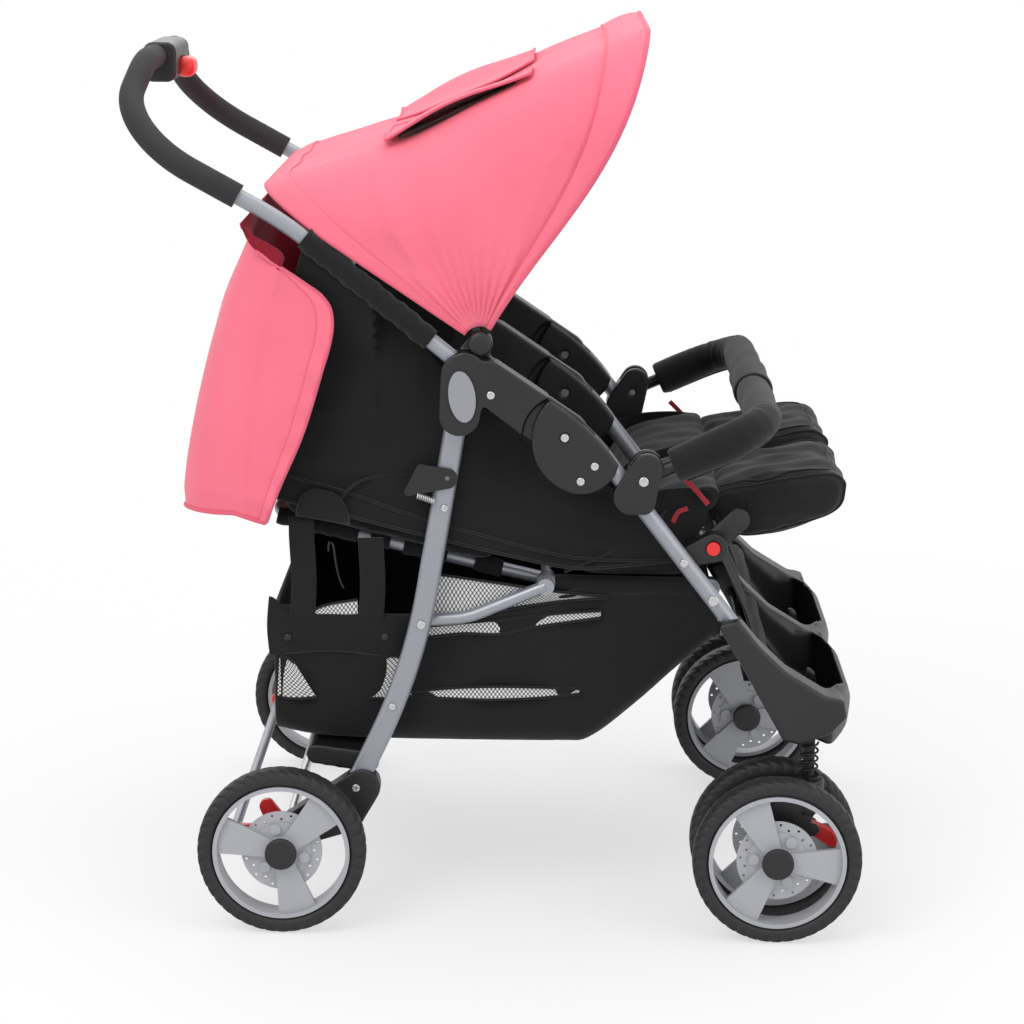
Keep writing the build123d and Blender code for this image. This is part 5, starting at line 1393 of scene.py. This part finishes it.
# ---- cloth between the seat's front and the leg rest, with two short trimmed loops on it
apronValues = {"top": ((392, 512), (430, 522), (470, 526), (500, 524)),
               "bottom": ((392, 436), (430, 440), (466, 446), (496, 484)), "across": 252.5, "wall": 2.0,
               "loops": (((470, 538), (484, 524), (498, 508)), ((474, 503), (463, 498), (457, 486))),
               "loopAcross": 257.0}
for sign in sides:
    name = sideName[sign]
    high, low = (smoothPath(apronValues[key], 50) for key in ("top", "bottom"))
    v = np.linspace(0, 1, 26)[:, None, None]
    grid = low[None] * (1 - v) + high[None] * v
    x, z = grid[..., 0], grid[..., 1]
    y = apronValues["across"] + 2.2 * np.sin(0.05 * x + 0.06 * z) + 1.4 * np.sin(0.11 * z - 0.03 * x)
    apron = gridObject(f"seat_apron_{name}", spots(np.concatenate([grid, (sign * y)[..., None]], 2)),
                       inside=spots((440, 480, 0)))
    apron.data.materials.append(blackCloth)
    thicken(apron, apronValues["wall"] * mm, offset=0.0)
    bake(apron)
    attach(apron, "front_frame")
    loops = []
    for points in apronValues["loops"]:
        line = smoothPath(points, 30)
        path = spots(np.concatenate([line, np.full((30, 1), sign * apronValues["loopAcross"])], 1))
        loops.append(sweptObject("loop", path, roundBar(3.0 * mm, 1.0 * mm, 3.0, 16), up=(0, 1, 0)))
    loops = joined(f"seat_trim_{name}", loops)
    place(loops, redPiping, "front_frame")

# ---- cloth sleeve round each outer seat rail, ahead of the brace
railSleeve = {"start": 319.0, "end": 491.0, "radius": 10.4, "height": (405.0, 403.0)}
railSpan = (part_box("seat_frame")[1][1] / mm) - 9.0
sleeves = []
for sign in sides:
    u = np.linspace(0, 1, 70)
    sleeveLine = np.stack([railSleeve["start"] + (railSleeve["end"] - railSleeve["start"]) * u,
                           railSleeve["height"][0] + (railSleeve["height"][1] - railSleeve["height"][0]) * u,
                           sign * railSpan + 0 * u], -1)
    sleeves.append(sweptObject("sleeve", spots(sleeveLine), ring(railSleeve["radius"] * mm, 20), up=(0, 1, 0)))
place(joined("rail_sleeves", sleeves), blackCloth, bodyOf["seat_frame"])

# ---- the seat's cover runs on over its front edge to the leg rest
bridge = smoothPath(((372, 452), (392, 478), (412, 502), (438, 516), (470, 524), (500, 527), (512, 518),
                     (504, 500), (470, 492), (436, 486), (408, 468), (392, 448)), 80, closed=True)
bridgeMiddle = bridge.mean(0)
for sign in sides:
    v = np.sin(np.linspace(-np.pi / 2, np.pi / 2, 40))[1:-1, None]
    shrink = (1 - np.abs(v) ** 12) ** (1 / 12)
    thin = 0.6 + 0.4 * shrink
    x = bridgeMiddle[0] + (bridge[None, :, 0] - bridgeMiddle[0]) * (0.94 + 0.06 * shrink)
    z = bridgeMiddle[1] + (bridge[None, :, 1] - bridgeMiddle[1]) * thin
    y = seat["across"] + (seat["half"] - 1) * v + 0 * x
    z = z + 1.6 * np.sin(0.12 * y + 0.03 * x) * (z > bridgeMiddle[1]) + 1.1 * np.sin(0.06 * x - 0.07 * y)
    cover = gridObject(f"seat_cover_front_{sideName[sign]}", spots(np.stack([x, z, sign * y], -1)), wrapV=True,
                       capEnds=True)
    fixNormals(cover)
    cover.data.materials.append(blackPad)
    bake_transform(cover)

# ---- calf cloth: from under the leg rest down and round the cross tube
calf = smoothPath(((513, 444), (528, 412), (545, 376), (556, 344), (567, 337.6), (573.4, 329), (571, 320),
                   (563, 317)), 60)
for sign in sides:
    y = np.linspace(17, 256, 50)[None, :]
    sway = 2.0 * np.sin(0.05 * y) * np.sin(np.pi * np.linspace(0, 1, 60) ** 0.7)[:, None]
    grid = np.stack([calf[:, :1] + sway, calf[:, 1:] + 0 * y, sign * (y + 0 * sway)], -1)
    sheet = gridObject(f"calf_cloth_{sideName[sign]}", spots(grid), inside=spots((520, 340, sign * 130)))
    sheet.data.materials.append(blackCloth)
    thicken(sheet, 1.6 * mm, offset=1.0)
    bake(sheet)
    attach(sheet, "front_frame")
print("calf cloth hung")

# ---- small things on the side: a half-round tab, a bent wire hook and the catch's spring
tabValues = {"middle": 44, "half": 31, "low": 484, "slope": 0.16, "high": 36, "across": 262.6, "wall": 1.6}
hookLine = ((50, 444, 252), (51, 455, 254), (56, 452, 259), (59, 432, 259), (63, 412, 258), (68, 400, 257))
coilValues = {"turns": 9, "start": (156, 519), "run": (21, -7), "radius": 3.4, "across": 281, "wire": 0.7}
for sign in sides:
    name = sideName[sign]
    u = np.linspace(-1, 1, 40)[None, :]
    v = np.linspace(0, 1, 14)[:, None]
    arch = (1 - np.abs(u) ** 3.6) ** 0.6
    x = tabValues["middle"] + tabValues["half"] * u + 0 * v
    z = tabValues["low"] - tabValues["slope"] * (x - tabValues["middle"]) + tabValues["high"] * v * arch
    y = tabValues["across"] + 1.4 * np.sin(np.pi * v) + 0 * u
    tab = gridObject(f"side_tab_{name}", spots(np.stack([x, z, sign * y], -1)), inside=spots((48, 500, 0)))
    tab.data.materials.append(blackStrap)
    thicken(tab, tabValues["wall"] * mm, offset=1.0)
    bake(tab)
    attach(tab, "handle_frame")
    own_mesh(tab)
    line = smoothPath(hookLine, 60) * (1, 1, sign)
    hook = sweptObject(f"basket_hook_{name}", spots(line), ring(1.3 * mm, 10), up=(0, 1, 0))
    place(hook, springSteel, "front_frame")
    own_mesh(hook)
turns = np.linspace(0, 2 * np.pi * coilValues["turns"], 260)
reach = turns / turns[-1]
coil = np.stack([coilValues["start"][0] + coilValues["run"][0] * reach + 1.2 * np.cos(turns),
                 coilValues["start"][1] + coilValues["run"][1] * reach + coilValues["radius"] * np.cos(turns),
                 -(coilValues["across"] + coilValues["radius"] * np.sin(turns))], -1)
catchSpring = sweptObject("catch_spring", spots(coil), ring(coilValues["wire"] * mm, 8), up=(1, 0, -0.3))
place(catchSpring, screwSteel, "rear_frame")
print("small fittings placed")

# ---- release button: a rounded red pad in the middle of the handle
low, high = (np.array(c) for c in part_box("release_button"))
size = (high - low) / 2
form = slab(size[1] / mm + 2.0, size[0] / mm + 1.5, size[2] / mm + 0.8, planPower=3.2, edgePower=2.4, count=56,
            rows=18)
points = (low + high) / 2 + mm * np.stack([form[..., 1], form[..., 0], form[..., 2]], -1)
button = gridObject("release_pad", points, wrapV=True, capEnds=True)
fixNormals(button)
place(button, redPlastic, "release", ["release_button"])

print("sheets and release button made")

# ---- stage
stage = {"floor": 14.0, "white": (1.0, 1.0, 1.0, 1.0)}
floorMesh = bpy.data.meshes.new("floor")
reach = stage["floor"]
floorMesh.from_pydata([(-reach, -reach, 0), (reach, -reach, 0), (reach, reach, 0), (-reach, reach, 0)], [],
                      [(0, 1, 2, 3)])
floor = bpy.data.objects.new("floor", floorMesh)
bpy.context.scene.collection.objects.link(floor)
floorMaterial = bpy.data.materials.new("studio floor")
floorMaterial.use_nodes = True
tree = floorMaterial.node_tree
shader = tree.nodes["Principled BSDF"]
shader.inputs["Base Color"].default_value = (0.86, 0.86, 0.86, 1)
shader.inputs["Roughness"].default_value = 0.9
glow = tree.nodes.new("ShaderNodeEmission")
glow.inputs["Color"].default_value = stage["white"]
path = tree.nodes.new("ShaderNodeLightPath")
seen = mathNode(tree, "MAXIMUM", path.outputs["Is Camera Ray"], path.outputs["Is Glossy Ray"])
mix = tree.nodes.new("ShaderNodeMixShader")
# near the stroller the floor keeps its shadow; further off it turns into the white of the background
where = tree.nodes.new("ShaderNodeTexCoord")
away = tree.nodes.new("ShaderNodeVectorMath")
away.operation = "LENGTH"
tree.links.new(where.outputs["Object"], away.inputs[0])
tree.links.new(mathNode(tree, "MULTIPLY", seen, spread(tree, away.outputs["Value"], 0.75, 1.9, 0.62, 1.0)),
               mix.inputs["Fac"])
tree.links.new(shader.outputs[0], mix.inputs[1])
tree.links.new(glow.outputs[0], mix.inputs[2])
tree.links.new(mix.outputs[0], tree.nodes["Material Output"].inputs["Surface"])
floorMesh.materials.append(floorMaterial)

world = bpy.data.worlds.new("studio")
bpy.context.scene.world = world
world.use_nodes = True
tree = world.node_tree
plain = tree.nodes["Background"]
plain.inputs["Color"].default_value = (0.97, 0.98, 1.0, 1)
plain.inputs["Strength"].default_value = 0.62
white = tree.nodes.new("ShaderNodeBackground")
white.inputs["Color"].default_value = stage["white"]
path = tree.nodes.new("ShaderNodeLightPath")
seen = mathNode(tree, "MAXIMUM", path.outputs["Is Camera Ray"], path.outputs["Is Glossy Ray"])
seen = mathNode(tree, "MAXIMUM", seen, path.outputs["Is Transmission Ray"])
mix = tree.nodes.new("ShaderNodeMixShader")
tree.links.new(seen, mix.inputs["Fac"])
tree.links.new(plain.outputs[0], mix.inputs[1])
tree.links.new(white.outputs[0], mix.inputs[2])
tree.links.new(mix.outputs[0], tree.nodes["World Output"].inputs["Surface"])

lamps = {"key": ((-1.6, -2.4, 3.2), 2.2, 62.0), "fill": ((2.6, -2.0, 1.8), 2.6, 26.0),
         "top": ((0.2, 0.4, 3.4), 2.6, 34.0), "back": ((-0.8, 3.0, 2.2), 2.4, 22.0)}
for name, (spot, size, power) in lamps.items():
    light = bpy.data.lights.new(name, "AREA")
    light.size = size
    light.energy = power
    lamp = bpy.data.objects.new(name, light)
    bpy.context.scene.collection.objects.link(lamp)
    lamp.location = spot
    lamp.rotation_euler = (Vector((0, 0, 0.5)) - Vector(spot)).to_track_quat("-Z", "Y").to_euler()

view = {"spot": (0.07085, -3.647, 1.241), "lens": 103.4, "pitch": 12.40, "yaw": -0.88, "roll": 0.60}
camera = bpy.data.cameras.new("camera")
camera.lens = view["lens"]
camera.sensor_width = 36
cameraObject = bpy.data.objects.new("camera", camera)
bpy.context.scene.collection.objects.link(cameraObject)
pitch, yaw, roll = (math.radians(view[key]) for key in ("pitch", "yaw", "roll"))
ahead = Vector((math.sin(yaw) * math.cos(pitch), math.cos(yaw) * math.cos(pitch), -math.sin(pitch)))
right = Vector((math.cos(yaw), -math.sin(yaw), 0))
above = right.cross(ahead)
turnedRight = math.cos(roll) * right + math.sin(roll) * above
turnedAbove = -math.sin(roll) * right + math.cos(roll) * above
turn = Matrix((turnedRight, turnedAbove, -ahead)).transposed()
cameraObject.matrix_world = Matrix.Translation(view["spot"]) @ turn.to_4x4()
bpy.context.scene.camera = cameraObject
bpy.context.scene.view_settings.view_transform = "Standard"

bpy.context.view_layer.update()
print("done")
